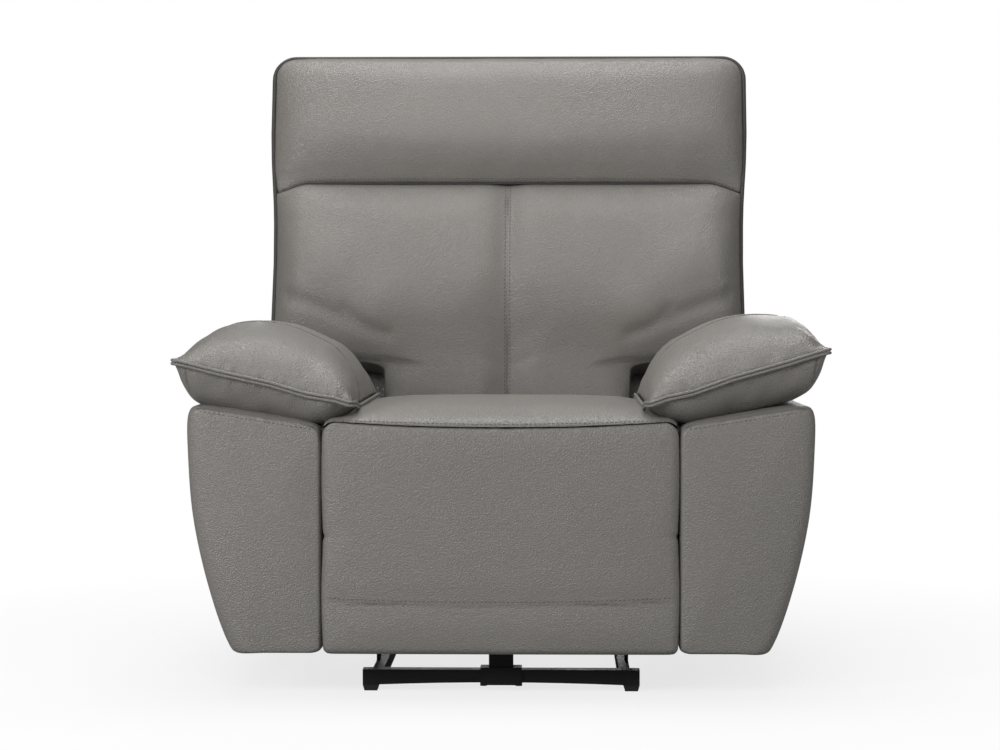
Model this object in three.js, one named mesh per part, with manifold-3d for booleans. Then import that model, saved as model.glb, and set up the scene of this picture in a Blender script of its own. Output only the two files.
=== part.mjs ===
// A powered recliner seat for one person, with leather covers, on a black steel base.
// Lengths are millimetres and +Z is up. The sitter faces -Y.
// While the pieces are made, y = 0 is the front face of the leg rest. At the end the whole
// chair is moved so that its origin is under the middle of its box, on the floor.

import * as THREE from 'three';
import { mergeVertices } from 'three/addons/utils/BufferGeometryUtils.js';
import Module from 'manifold-3d';

const wasm = await Module();
wasm.setup();

// Clearances
const gap = 0.3; // between two pieces that touch
const running = 0.5; // round a pin that turns in a hole
const layerGap = 1; // between two plates that pass each other
const overrun = 5; // how far a cutting tool passes the face that it cuts

// Upholstery, seen from the front
const seatHalfWidth = 288;
const armPadTipHalfWidth = 526;
const armPadInnerHalfWidth = 239;
const armHalfWidth = 509;
const armFootHalfWidth = 436;
const backHalfWidth = 446;
const backWaistHalfWidth = 256;
const panelBottom = 73;
const seatSeamHeight = 452;
const seatCrown = 34;
const armTopInner = 443;
const armTopOuter = 478;
const padSeamInner = 475;
const padSeamOuter = 543;
const padLoft = 101;

// Upholstery, seen from the side
const armFront = 7;
const armDepth = 733;
const padDepth = 570;
const legPadThickness = 34.7;
const legBoardThickness = 12;
const legPadBulge = 4;
const legPadParting = 3; // the flap pad and the footrest pad each stop this far from the hinge

// Back, in its own leaning frame: t is across its thickness and h is up along it
const backLean = THREE.MathUtils.degToRad(15);
const backHinge = { y: 620, z: 262 };
const backFrontFace = 112;
const backFrameFront = 20;
const backRearFace = 100;
const coverPanel = 10;
const coverWall = 8;
const backCushionFoot = 60;
const headrestSeam = 598;
const backTop = 850;
const wingFoot = 262;

// Leg rest linkage, in side view
const flapHinge = { y: 23, z: 430 };
const flapLength = 169;
const drivePivotBack = 94.4;
const drivePivotDrop = 132.4;
const driveLinkLength = 201;
const driveLinkRest = THREE.MathUtils.degToRad(-74.78);
const footPinBack = 46.7;
const footPinDrop = 21.9;
const crankRadius = 48;
const crankRest = THREE.MathUtils.degToRad(-48.4);

// Lift linkage, in side view
const liftPivotHeight = 60;
const frontLiftY = 195;
const rearLiftY = 465;
const liftLinkLength = 110;
const liftLinkRest = THREE.MathUtils.degToRad(65);
const crossTubeAlong = 60;

// Steel plates and pins
const plate = 6;
const linkHalfWidth = 12;
const plateCorner = 6;
const pivotPin = 5;
const boss = 15;

// Layers of plates, counted outward from the middle of the chair
const railInner = 194;
const railOuter = 212;
const liftLayer = railOuter + layerGap;
const seatPlateLayer = liftLayer + plate + layerGap;
const driveLayer = seatPlateLayer + plate + layerGap;
const pushLayer = driveLayer + plate + layerGap;
const footBracketLayer = pushLayer + plate + layerGap;
const sideBoardThickness = 14.4;
const sideBoardRoom = 3.6; // between the side board and the seat's full width
const sideBoardOuter = seatHalfWidth - sideBoardRoom;
const sideBoardInner = sideBoardOuter - sideBoardThickness;
const hingePlate = 4;
const hingeLayer = sideBoardOuter + gap;
const flapArmRoom = 1.4; // between the flap arm and the side board's outer face
const flapArmLayer = sideBoardOuter - flapArmRoom - plate;
const footArmLayer = flapArmLayer - layerGap - plate;

// Base
const baseBarHeight = 25;
const baseBarDepth = 25;
const baseBarTop = 35;
const baseHalfWidth = 228;
const frontBarY = 78;
const rearBarY = 728;
const footWidth = 27;
const footHeight = baseBarTop - baseBarHeight;
const barArch = 4;

// Seat frame
const seatRailBottom = 275;
const seatRailHeight = 60;
const seatRailDepth = 20;
const frontRailY = 49;
const rearRailY = 485;
const sideBoardFront = 53;
const sideBoardBottom = 200;

// Finishes
const leather = () => finish(0x8a8681, 0.55, 0);
const backLeather = () => finish(0x807c77, 0.6, 0);
const blackSteel = () => finish(0x17171a, 0.45, 0.7);
const zincSteel = () => finish(0x9a9da0, 0.4, 0.9);
const timber = () => finish(0xb58f63, 0.75, 0);
const blackPlastic = () => finish(0x1d1d1f, 0.5, 0);
const greyPlastic = () => finish(0x6d6e71, 0.45, 0);

function finish(color, roughness, metalness) {
  return new THREE.MeshStandardMaterial({ color, roughness, metalness });
}

// Places that several pieces share
const notchHinge = { y: flapHinge.y, z: flapHinge.z - flapLength };
const drivePivot = { y: flapHinge.y + drivePivotBack, z: flapHinge.z - drivePivotDrop };
const footPin = { y: notchHinge.y + footPinBack, z: notchHinge.z - footPinDrop };
const driveEnd = along(drivePivot, driveLinkRest, driveLinkLength);
const crankPin = along(drivePivot, crankRest, crankRadius);
const frontLiftFoot = { y: frontLiftY, z: liftPivotHeight };
const rearLiftFoot = { y: rearLiftY, z: liftPivotHeight };
const frontLiftHead = along(frontLiftFoot, liftLinkRest, liftLinkLength);
const rearLiftHead = along(rearLiftFoot, liftLinkRest, liftLinkLength);
const crossTube = along(frontLiftFoot, liftLinkRest, crossTubeAlong);
const hingeRoll = flapHinge.y;
const legPadRear = legPadThickness;
const legBoardFront = legPadRear + gap;
const legBoardRear = legBoardFront + legBoardThickness;
const seatRailTop = seatRailBottom + seatRailHeight;
const springRadius = 2;
const springTop = seatRailTop + gap + 2 * springRadius;
const backFrameRear = backRearFace - coverPanel - gap;

const chair = new THREE.Group();
const back = new THREE.Group();

// Geometry helpers

function along(start, angle, length) {
  return { y: start.y + length * Math.cos(angle), z: start.z + length * Math.sin(angle) };
}

function solidOf(geometry) {
  const bare = geometry.clone();
  bare.deleteAttribute('normal');
  bare.deleteAttribute('uv');
  const merged = mergeVertices(bare);
  return new wasm.Manifold(new wasm.Mesh({
    numProp: 3,
    vertProperties: new Float32Array(merged.attributes.position.array),
    triVerts: new Uint32Array(merged.index.array),
  }));
}

function geometryOf(solid) {
  const mesh = solid.getMesh();
  const geometry = new THREE.BufferGeometry();
  geometry.setAttribute('position', new THREE.BufferAttribute(mesh.vertProperties, 3));
  geometry.setIndex(new THREE.BufferAttribute(mesh.triVerts, 1));
  geometry.computeVertexNormals();
  return geometry;
}

function add(group, name, solid, material) {
  const mesh = new THREE.Mesh(geometryOf(solid), material);
  mesh.name = name;
  group.add(mesh);
}

function unite(...solids) {
  return solids.reduce((whole, piece) => whole.add(piece));
}

function cut(solid, ...tools) {
  return tools.reduce((rest, tool) => rest.subtract(tool), solid);
}

// A box between two values on each axis
function block(x, y, z) {
  const size = [x, y, z].map(([low, high]) => Math.abs(high - low));
  const middle = [x, y, z].map(([low, high]) => (low + high) / 2);
  return solidOf(new THREE.BoxGeometry(...size).translate(...middle));
}

// A range on one side of the chair, where side is -1 or 1
function onSide(side, near, far) {
  return [side * near, side * far];
}

// A shape drawn as (y, z), given thickness along X
function plateAcross(shape, x, segments = 6) {
  const [low, high] = [Math.min(...x), Math.max(...x)];
  const options = { depth: high - low, bevelEnabled: false, curveSegments: segments };
  const geometry = new THREE.ExtrudeGeometry(shape, options);
  const turn = new THREE.Matrix4().makeBasis(
    new THREE.Vector3(0, 1, 0),
    new THREE.Vector3(0, 0, 1),
    new THREE.Vector3(1, 0, 0),
  );
  return solidOf(geometry.applyMatrix4(turn).translate(low, 0, 0));
}

// A shape drawn as (x, z), given thickness along Y
function plateFacing(shape, y, segments = 8) {
  const [low, high] = y;
  const options = { depth: high - low, bevelEnabled: false, curveSegments: segments };
  const geometry = new THREE.ExtrudeGeometry(shape, options);
  return solidOf(geometry.rotateX(Math.PI / 2).translate(0, high, 0));
}

// A round bar along X
function rod(place, radius, x, sides = 12) {
  const [low, high] = [Math.min(...x), Math.max(...x)];
  const geometry = new THREE.CylinderGeometry(radius, radius, high - low, sides);
  return solidOf(geometry.rotateZ(Math.PI / 2).translate((low + high) / 2, place.y, place.z));
}

// The outline of a link with round ends
function linkShape(start, end, radius) {
  const angle = Math.atan2(end.z - start.z, end.y - start.y);
  const shape = new THREE.Shape();
  shape.absarc(start.y, start.z, radius, angle + Math.PI / 2, angle + Math.PI * 1.5, false);
  shape.absarc(end.y, end.z, radius, angle - Math.PI / 2, angle + Math.PI / 2, false);
  shape.closePath();
  return shape;
}

// An outline through corners given as [first, second]
function outline(corners) {
  return new THREE.Shape(corners.map(([a, b]) => new THREE.Vector2(a, b)));
}

// An outline with one corner radius
function roundedOutline(corners, radius) {
  const shape = new THREE.Shape();
  const points = corners.map(([a, b]) => new THREE.Vector2(a, b));
  points.forEach((corner, i) => {
    const before = points[(i + points.length - 1) % points.length];
    const after = points[(i + 1) % points.length];
    const enter = corner.clone().add(before.clone().sub(corner).setLength(radius));
    const leave = corner.clone().add(after.clone().sub(corner).setLength(radius));
    if (i === 0) {
      shape.moveTo(enter.x, enter.y);
    } else {
      shape.lineTo(enter.x, enter.y);
    }
    shape.quadraticCurveTo(corner.x, corner.y, leave.x, leave.y);
  });
  shape.closePath();
  return shape;
}

// A closed body from points and triangles, turned inside out if its volume is negative
function closedBody(points, triangles) {
  let volume = 0;
  triangles.forEach(([a, b, c]) => {
    const [p, q, r] = [points[a], points[b], points[c]];
    volume += p.dot(q.clone().cross(r));
  });
  const order = volume < 0 ? triangles.map(([a, b, c]) => [a, c, b]) : triangles;
  const geometry = new THREE.BufferGeometry().setFromPoints(points);
  geometry.setIndex(order.flat());
  return solidOf(geometry);
}

// A body through rings of points, each ring with as many points, closed by a fan at each end
function loft(rings) {
  const count = rings[0].length;
  const points = rings.flat();
  const triangles = [];
  for (let r = 0; r + 1 < rings.length; r += 1) {
    for (let i = 0; i < count; i += 1) {
      const [a, b] = [r * count + i, r * count + ((i + 1) % count)];
      triangles.push([a, b, b + count], [a, b + count, a + count]);
    }
  }
  [0, rings.length - 1].forEach((r) => {
    const middle = new THREE.Vector3();
    rings[r].forEach((point) => middle.addScaledVector(point, 1 / count));
    const tip = points.push(middle) - 1;
    for (let i = 0; i < count; i += 1) {
      const [a, b] = [r * count + i, r * count + ((i + 1) % count)];
      triangles.push(r === 0 ? [tip, b, a] : [tip, a, b]);
    }
  });
  return closedBody(points, triangles);
}

// A rounded box about the origin whose faces are divided, so that form() can crown its top
// and draw in its sides. form gets a point and its share, -1 to 1, of the half size each way.
function softBlock(size, radius, cells, form) {
  const half = size.map((length) => length / 2);
  const roundSteps = [1, Math.tan(Math.PI / 8), 0];
  const stations = half.map((h, axis) => {
    const flat = h - radius;
    const list = roundSteps.map((step) => -flat - radius * step);
    for (let i = 1; i < cells[axis]; i += 1) {
      list.push(-flat + (2 * flat * i) / cells[axis]);
    }
    return list.concat(roundSteps.map((step) => flat + radius * step).reverse());
  });
  const last = stations.map((list) => list.length - 1);
  const points = [];
  const known = new Map();
  const vertex = (i, j, k) => {
    const key = `${i},${j},${k}`;
    if (!known.has(key)) {
      const place = [stations[0][i], stations[1][j], stations[2][k]];
      const core = place.map((v, axis) => {
        const flat = half[axis] - radius;
        return Math.max(-flat, Math.min(flat, v));
      });
      const out = new THREE.Vector3(...place).sub(new THREE.Vector3(...core));
      const point = new THREE.Vector3(...core).add(out.setLength(radius));
      const share = [point.x / half[0], point.y / half[1], point.z / half[2]];
      known.set(key, points.push(form(point, share)) - 1);
    }
    return known.get(key);
  };
  const triangles = [];
  const face = (axis, end) => {
    const [u, v] = [(axis + 1) % 3, (axis + 2) % 3];
    const at = (a, b) => {
      const index = [0, 0, 0];
      index[axis] = end ? last[axis] : 0;
      index[u] = a;
      index[v] = b;
      return vertex(...index);
    };
    for (let a = 0; a < last[u]; a += 1) {
      for (let b = 0; b < last[v]; b += 1) {
        const corners = [at(a, b), at(a + 1, b), at(a + 1, b + 1), at(a, b + 1)];
        const [p, q, r, s] = end ? corners : corners.reverse();
        triangles.push([p, q, r], [p, r, s]);
      }
    }
  };
  [0, 1, 2].forEach((axis) => [false, true].forEach((end) => face(axis, end)));
  return closedBody(points, triangles);
}

// A value that eases from 0 to 1 while v goes from low to high
function ease(v, low, high) {
  const t = Math.max(0, Math.min(1, (v - low) / (high - low)));
  return t * t * (3 - 2 * t);
}

// Base: a front bar, a rear tube and two side rails, on four feet

function frontBar() {
  const end = baseHalfWidth - footWidth;
  const bottom = baseBarTop - baseBarHeight;
  const shape = new THREE.Shape();
  shape.moveTo(-baseHalfWidth, baseBarTop);
  shape.lineTo(-baseHalfWidth, bottom);
  shape.lineTo(-end, bottom);
  shape.quadraticCurveTo(0, bottom + 2 * barArch, end, bottom);
  shape.lineTo(baseHalfWidth, bottom);
  shape.lineTo(baseHalfWidth, baseBarTop);
  shape.closePath();
  return plateFacing(shape, [frontBarY, frontBarY + baseBarDepth]);
}

function rearTube() {
  const wall = 2.5;
  const [y, z] = [[rearBarY, rearBarY + baseBarDepth], [baseBarTop - baseBarHeight, baseBarTop]];
  const outer = block([-baseHalfWidth, baseHalfWidth], y, z);
  const bore = block(
    [-baseHalfWidth - overrun, baseHalfWidth + overrun],
    [y[0] + wall, y[1] - wall],
    [z[0] + wall, z[1] - wall],
  );
  return cut(outer, bore);
}

function baseRail(side) {
  const y = [frontBarY + baseBarDepth + gap, rearBarY - gap];
  const z = [baseBarTop - baseBarHeight, baseBarTop];
  const tabX = onSide(side, railOuter - plate, railOuter);
  const pinX = onSide(side, railOuter - plate, liftLayer + plate + layerGap / 2);
  let rail = block(onSide(side, railInner, railOuter), y, z);
  [frontLiftFoot, rearLiftFoot].forEach((pivot) => {
    const foot = { y: pivot.y, z: baseBarTop - boss };
    rail = unite(
      rail,
      plateAcross(linkShape(foot, pivot, boss), tabX),
      rod(pivot, pivotPin, pinX),
    );
  });
  return rail;
}

function foot(side, y) {
  const inner = baseHalfWidth - footWidth;
  const taper = 3;
  const shape = outline([
    [side * inner, footHeight - gap],
    [side * baseHalfWidth, footHeight - gap],
    [side * (baseHalfWidth - taper), 0],
    [side * (inner + taper), 0],
  ]);
  return plateFacing(shape, [y, y + baseBarDepth]);
}

// The clamp on the middle of the front bar, and the post that carries the recline actuator
const mountHalfWidth = 34;
const postHalfWidth = 20;
const postDepth = 18;
const clampWall = 4;
const reclineRailBottom = 72;
const reclineRailHeight = 18;
const reclineRailHalfWidth = 14;
const postRear = frontBarY + postDepth;

function motorMount() {
  const boltPlace = 29;
  const boltRadius = 6.5;
  const boltDrop = 3;
  const barBottom = baseBarTop - baseBarHeight + barArch;
  const clamp = block(
    [-mountHalfWidth, mountHalfWidth],
    [frontBarY - clampWall, frontBarY + baseBarDepth + clampWall],
    [barBottom - clampWall, baseBarTop + clampWall],
  );
  const post = block(
    [-postHalfWidth, postHalfWidth],
    [frontBarY, postRear],
    [baseBarTop + clampWall / 2, reclineRailBottom + reclineRailHeight + clampWall],
  );
  const bolts = [-boltPlace, boltPlace].map((x) => {
    const length = clampWall + boltDrop - 2 * gap;
    const bolt = new THREE.CylinderGeometry(boltRadius, boltRadius, length, 6);
    bolt.rotateX(Math.PI / 2);
    const z = barBottom - clampWall - boltDrop + length / 2;
    return solidOf(bolt.translate(x, frontBarY + baseBarDepth / 2, z));
  });
  const bar = block(
    [-mountHalfWidth - overrun, mountHalfWidth + overrun],
    [frontBarY - gap, frontBarY + baseBarDepth + gap],
    [barBottom - gap, baseBarTop + gap],
  );
  return unite(cut(clamp, bar), post, ...bolts);
}

// Actuators: a gearbox with its motor, a rail, and a slider that the screw inside moves
const motorWidth = 64;
const motorLength = 84;
const motorHeight = 62;
const reclineMotorY = 600;
const footrestRailX = 75;
const footrestRailHalfWidth = 12;
const footrestRailBottom = 212;
const footrestRailHeight = 16;
const footrestRailFront = 56;
const footrestMotorY = 478;
const sliderWall = 8;
const sliderLength = 44;
const tubePlay = 1;
const crankPlay = 1.8;
const lugPlate = 6;

// The gearbox with its motor can, which lies along Y above the gearbox or below it
function motorHousing(x, y, z, canRadius, canLength, canZ) {
  const corner = 9;
  const gearbox = roundedOutline([
    [y, z - motorHeight / 2],
    [y + motorLength, z - motorHeight / 2],
    [y + motorLength, z + motorHeight / 2],
    [y, z + motorHeight / 2],
  ], corner);
  const can = new THREE.CylinderGeometry(canRadius, canRadius, canLength, 20);
  can.rotateX(Math.PI / 2);
  can.translate(x, y + motorLength - corner - canLength / 2, canZ);
  return unite(plateAcross(gearbox, [x - motorWidth / 2, x + motorWidth / 2], 3), solidOf(can));
}

function reclineMotor() {
  const z = reclineRailBottom + reclineRailHeight / 2;
  const canRadius = 28;
  const canLength = 62;
  const canRise = 40;
  const housing = motorHousing(0, reclineMotorY, z, canRadius, canLength, z + canRise);
  const bracketHalf = 15;
  const bracketDrop = 50;
  const bracketHeight = 31;
  const rear = reclineMotorY + motorLength;
  const bracket = block(
    [-bracketHalf, bracketHalf],
    [rear - overrun, rearBarY - gap],
    [z - bracketDrop, z - bracketDrop + bracketHeight],
  );
  const socketHalf = 7;
  const socketDepth = 14;
  const socket = block(
    [-socketHalf, socketHalf],
    [rear - socketDepth, rear + overrun],
    [z - socketHalf, z + socketHalf],
  );
  return cut(unite(housing, bracket), socket);
}

function reclineRail() {
  return block(
    [-reclineRailHalfWidth, reclineRailHalfWidth],
    [postRear + gap, reclineMotorY - gap],
    [reclineRailBottom, reclineRailBottom + reclineRailHeight],
  );
}

// A slider with two lugs whose slots hold a pin or tube that runs across
function slider(rail, pin) {
  const body = block(
    [rail.x - rail.halfWidth - sliderWall, rail.x + rail.halfWidth + sliderWall],
    [pin.y - sliderLength / 2, pin.y + sliderLength / 2],
    [rail.bottom - sliderWall, rail.bottom + rail.height + sliderWall / 2],
  );
  const lugHalf = sliderLength / 2 - layerGap;
  const lugs = [-1, 1].map((side) => block(
    [rail.x + side * pin.lugNear, rail.x + side * (pin.lugNear + lugPlate)],
    [pin.y - lugHalf, pin.y + lugHalf],
    [rail.bottom, pin.lugTop],
  ));
  const slot = block(
    [rail.x - rail.halfWidth - sliderWall * 3, rail.x + rail.halfWidth + sliderWall * 3],
    [pin.y - pin.radius - pin.play, pin.y + pin.radius + pin.play],
    [pin.slotBottom, pin.slotTop],
  );
  const bore = block(
    [rail.x - rail.halfWidth - gap, rail.x + rail.halfWidth + gap],
    [pin.y - sliderLength, pin.y + sliderLength],
    [rail.bottom - gap, rail.bottom + rail.height + gap],
  );
  return cut(unite(body, ...lugs), slot, bore);
}

const crossTubeRadius = 11;
const tubeSpigotRadius = 7;

function reclineSlider() {
  const rail = {
    x: 0,
    halfWidth: reclineRailHalfWidth,
    bottom: reclineRailBottom,
    height: reclineRailHeight,
  };
  const slotTop = liftPivotHeight + crossTubeAlong + crossTubeRadius + tubePlay;
  const pin = {
    play: tubePlay,
    y: crossTube.y,
    radius: crossTubeRadius,
    lugNear: reclineRailHalfWidth + sliderWall - lugPlate,
    lugTop: slotTop,
    slotBottom: crossTube.z - crossTubeRadius - tubePlay,
    slotTop: slotTop + overrun,
  };
  return slider(rail, pin);
}

function footrestSlider() {
  const rail = {
    x: footrestRailX,
    halfWidth: footrestRailHalfWidth,
    bottom: footrestRailBottom,
    height: footrestRailHeight,
  };
  const edge = 6;
  const slotTop = crankPin.z + pivotPin + tubePlay;
  const pin = {
    play: crankPlay,
    y: crankPin.y,
    radius: pivotPin,
    lugNear: footrestRailHalfWidth + sliderWall - lugPlate,
    lugTop: slotTop + edge,
    slotBottom: drivePivot.z - crankRadius - pivotPin - tubePlay,
    slotTop,
  };
  return slider(rail, pin);
}

function footrestMotor() {
  const z = footrestRailBottom + footrestRailHeight / 2;
  const canRadius = 24;
  const canLength = 60;
  const canDrop = 40;
  const housing = motorHousing(footrestRailX, footrestMotorY, z, canRadius, canLength, z - canDrop);
  const hanger = block(
    [footrestRailX - motorWidth / 2, footrestRailX + motorWidth / 2],
    [rearRailY, rearRailY + seatRailDepth],
    [z, seatRailBottom - gap],
  );
  return unite(housing, hanger);
}

function footrestRail() {
  return block(
    [footrestRailX - footrestRailHalfWidth, footrestRailX + footrestRailHalfWidth],
    [footrestRailFront, footrestMotorY - gap],
    [footrestRailBottom, footrestRailBottom + footrestRailHeight],
  );
}

// Lift links: two pairs that carry the seat, with a cross tube between the front pair

function liftLink(side, start, end, withTube) {
  const x = onSide(side, liftLayer, liftLayer + plate);
  const link = plateAcross(linkShape(start, end, linkHalfWidth), x);
  const holeX = onSide(side, liftLayer - overrun, liftLayer + plate + overrun);
  const holes = [start, end].map((place) => rod(place, pivotPin + running, holeX));
  const socket = rod(crossTube, tubeSpigotRadius + gap, holeX);
  return withTube ? cut(link, ...holes, socket) : cut(link, ...holes);
}

function liftCrossTube() {
  const end = liftLayer - gap;
  const spigot = liftLayer + plate;
  return unite(
    rod(crossTube, crossTubeRadius, [-end, end], 20),
    rod(crossTube, tubeSpigotRadius, [-spigot, spigot], 16),
  );
}

// Seat plates: the steel side plates that carry the seat frame and every leg rest pivot

function seatPlate(side) {
  const x = onSide(side, seatPlateLayer, seatPlateLayer + plate);
  const top = seatRailBottom - gap;
  const strip = 30;
  const eye = 21;
  const windowCorner = 12;
  const rearEnd = rearRailY + seatRailDepth;
  const shape = roundedOutline([
    [frontRailY, top],
    [frontRailY, top - strip / 2],
    [frontLiftHead.y - boss, frontLiftHead.z - boss],
    [rearLiftHead.y + boss, rearLiftHead.z - boss],
    [rearLiftHead.y + boss, rearLiftHead.z + boss],
    [rearEnd, top],
  ], plateCorner);
  const window = roundedOutline([
    [frontLiftHead.y + boss, top - strip],
    [frontLiftHead.y + boss + strip, frontLiftHead.z + boss],
    [rearLiftHead.y - strip * 2, frontLiftHead.z + boss],
    [rearLiftHead.y - strip, top - strip],
  ], windowCorner);
  const cutX = onSide(side, seatPlateLayer - overrun, seatPlateLayer + plate + overrun);
  const eyePlate = plateAcross(linkShape({ y: drivePivot.y, z: top - strip }, drivePivot, eye), x);
  const pinX = onSide(side, liftLayer - layerGap / 2, seatPlateLayer + plate);
  return unite(
    cut(
      unite(plateAcross(shape, x, 4), eyePlate),
      plateAcross(window, cutX, 4),
      rod(drivePivot, torqueTubeRadius + running, cutX, 20),
    ),
    rod(frontLiftHead, pivotPin, pinX),
    rod(rearLiftHead, pivotPin, pinX),
  );
}

// Leg rest drive: the torque tube turns both drive links, and a crank turns the tube
const torqueTubeRadius = 12.5;
const spigotRadius = 8;
const pushPlay = 0.8; // the linkage's own error is under 0.2

function torqueTube() {
  const end = driveLayer - gap;
  const spigot = driveLayer + plate;
  const cheek = 5;
  const crankX = [footrestRailX - cheek, footrestRailX + cheek];
  const reach = footrestRailHalfWidth + sliderWall;
  const pinX = [footrestRailX - reach, footrestRailX + reach];
  return unite(
    rod(drivePivot, torqueTubeRadius, [-end, end], 20),
    rod(drivePivot, spigotRadius, [-spigot, spigot], 16),
    plateAcross(linkShape(drivePivot, crankPin, pivotPin + cheek), crankX),
    rod(crankPin, pivotPin, pinX),
  );
}

function driveLink(side) {
  const x = onSide(side, driveLayer, driveLayer + plate);
  const link = plateAcross(linkShape(drivePivot, driveEnd, linkHalfWidth), x);
  const holeX = onSide(side, driveLayer - overrun, driveLayer + plate + overrun);
  const pinX = onSide(side, driveLayer + plate / 2, pushLayer + plate + layerGap / 2);
  return unite(
    cut(link, rod(drivePivot, spigotRadius + gap, holeX)),
    rod(driveEnd, pivotPin, pinX),
  );
}

function pushLink(side) {
  const x = onSide(side, pushLayer, pushLayer + plate);
  const holeX = onSide(side, pushLayer - overrun, pushLayer + plate + overrun);
  const link = plateAcross(linkShape(driveEnd, footPin, linkHalfWidth), x);
  return cut(
    link,
    rod(driveEnd, pivotPin + running, holeX),
    rod(footPin, pivotPin + pushPlay, holeX),
  );
}

// Seat frame: two side boards between a front and a rear rail, with springs across

function sideBoard(side) {
  const x = onSide(side, sideBoardInner, sideBoardOuter);
  const eye = 40;
  const step = 90;
  const corner = 12;
  const board = plateAcross(roundedOutline([
    [sideBoardFront, seatRailTop],
    [sideBoardFront, sideBoardBottom + eye],
    [sideBoardFront + step, sideBoardBottom],
    [backHinge.y - eye, sideBoardBottom],
    [backHinge.y - eye, seatRailTop],
  ], corner), x, 4);
  const arm = linkShape({ y: backHinge.y - 2 * eye, z: backHinge.z }, backHinge, eye);
  const holeX = onSide(side, sideBoardInner - overrun, sideBoardOuter + overrun);
  return cut(unite(board, plateAcross(arm, x)), rod(backHinge, backPinRadius + running, holeX));
}

function seatRail(y) {
  const end = sideBoardInner - gap;
  return block([-end, end], [y, y + seatRailDepth], [seatRailBottom, seatRailTop]);
}

// The front rail has a notch each side, where the drive links swing up past it
function frontSeatRail() {
  const notches = [-1, 1].map((side) => block(
    onSide(side, driveLayer - layerGap, driveLayer + plate + layerGap),
    [frontRailY - overrun, frontRailY + seatRailDepth + overrun],
    [seatRailBottom - overrun, drivePivot.z],
  ));
  return cut(seatRail(frontRailY), ...notches);
}

// Sinuous springs run from the front rail to the rear rail, tied by two wires across
const springCount = 5;
const springPitch = 100;

function springUnit() {
  const waves = 5;
  const stepsPerWave = 5;
  const swing = 26;
  const height = springTop - springRadius;
  const front = frontRailY + seatRailDepth / 2;
  const rear = rearRailY + seatRailDepth / 2;
  const section = outline([
    [-springRadius, -springRadius],
    [springRadius, -springRadius],
    [0, springRadius],
  ]);
  const wires = [];
  for (let i = 0; i < springCount; i += 1) {
    const x = (i - (springCount - 1) / 2) * springPitch;
    const points = [];
    for (let s = 0; s <= waves * stepsPerWave; s += 1) {
      const share = s / (waves * stepsPerWave);
      const side = Math.sin(share * waves * 2 * Math.PI);
      points.push(new THREE.Vector3(x + swing * side, front + (rear - front) * share, height));
    }
    const path = new THREE.CatmullRomCurve3(points, false, 'centripetal');
    const options = { steps: waves * stepsPerWave, extrudePath: path, bevelEnabled: false };
    wires.push(solidOf(new THREE.ExtrudeGeometry(section, options)));
  }
  const end = (springPitch * (springCount - 1)) / 2 + swing;
  const ties = [1 / 3, 2 / 3].map((share) => {
    const place = { y: front + (rear - front) * share, z: height };
    return rod(place, springRadius, [-end, end], 6);
  });
  return unite(...wires, ...ties);
}

function seatCushion() {
  const sideRoom = 4;
  const frontRoom = 2;
  const backRoom = 6;
  const halfWidth = seatHalfWidth - sideRoom;
  const front = flapHinge.y + hingeRoll + frontRoom;
  const lean = Math.tan(backLean);
  const rear = backHinge.y + backCushionFoot * Math.sin(backLean)
    - backFrontFace * Math.cos(backLean) - backRoom;
  const bottom = springTop + gap;
  const height = seatSeamHeight - bottom;
  const round = 18;
  const draw = 5;
  const size = [2 * halfWidth, rear - front, height];
  return softBlock(size, round, [10, 8, 2], (point, [u, v, w]) => {
    const upper = (w + 1) / 2;
    const crown = seatCrown * (1 - u ** 4) * (1 - v ** 4);
    const waist = draw * (1 - w * w) * (1 - v * v);
    const shift = Math.max(0, v) * upper * (height + crown) * lean;
    return new THREE.Vector3(
      point.x - Math.sign(u) * waist * Math.abs(u),
      point.y + (front + rear) / 2 + shift,
      point.z + bottom + height / 2 + crown * upper,
    );
  });
}

// Arms: an upholstered body each side, with a stuffed pad on top

function armTopAt(x) {
  const slope = (armTopOuter - armTopInner) / (armHalfWidth - seatHalfWidth);
  return armTopInner + (x - seatHalfWidth) * slope;
}

function armOuterAt(z) {
  const bulgeHeight = 433;
  const bendShare = 1.9;
  const drop = Math.max(0, (bulgeHeight - z) / (bulgeHeight - panelBottom));
  return armHalfWidth - (armHalfWidth - armFootHalfWidth) * drop ** bendShare;
}

function armRing(side, y, inset) {
  const inner = seatHalfWidth + layerGap;
  const round = 16;
  const bend = 5;
  const sideSteps = 8;
  const innerPullShare = 0.7;
  const top = armTopOuter - round * 2;
  const foot = panelBottom + round;
  const points = [[inner, foot], [inner, armTopInner - round]];
  points.push([inner + bend, armTopInner - bend], [inner + round, armTopAt(inner + round)]);
  points.push([armHalfWidth - round * 2, armTopAt(armHalfWidth - round * 2)]);
  points.push([armHalfWidth - bend * 2, armTopOuter - bend * 2]);
  for (let i = 0; i <= sideSteps; i += 1) {
    const z = top - ((top - foot) * i) / sideSteps;
    points.push([armOuterAt(z), z]);
  }
  points.push([armFootHalfWidth - round / 2, panelBottom + bend]);
  points.push([armFootHalfWidth - round * 2, panelBottom], [inner + round, panelBottom]);
  points.push([inner + bend, panelBottom + bend]);
  const middle = [(inner + armHalfWidth) / 2, (armTopInner + panelBottom) / 2];
  return points.map(([x, z]) => {
    const away = new THREE.Vector2(x - middle[0], z - middle[1]);
    const pull = inset / Math.max(Math.abs(away.x), Math.abs(away.y));
    const atInnerFace = Math.abs(x - inner) < gap;
    const px = atInnerFace ? x + inset * innerPullShare : x - away.x * pull;
    return new THREE.Vector3(side * px, y, z - away.y * pull);
  });
}

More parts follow.
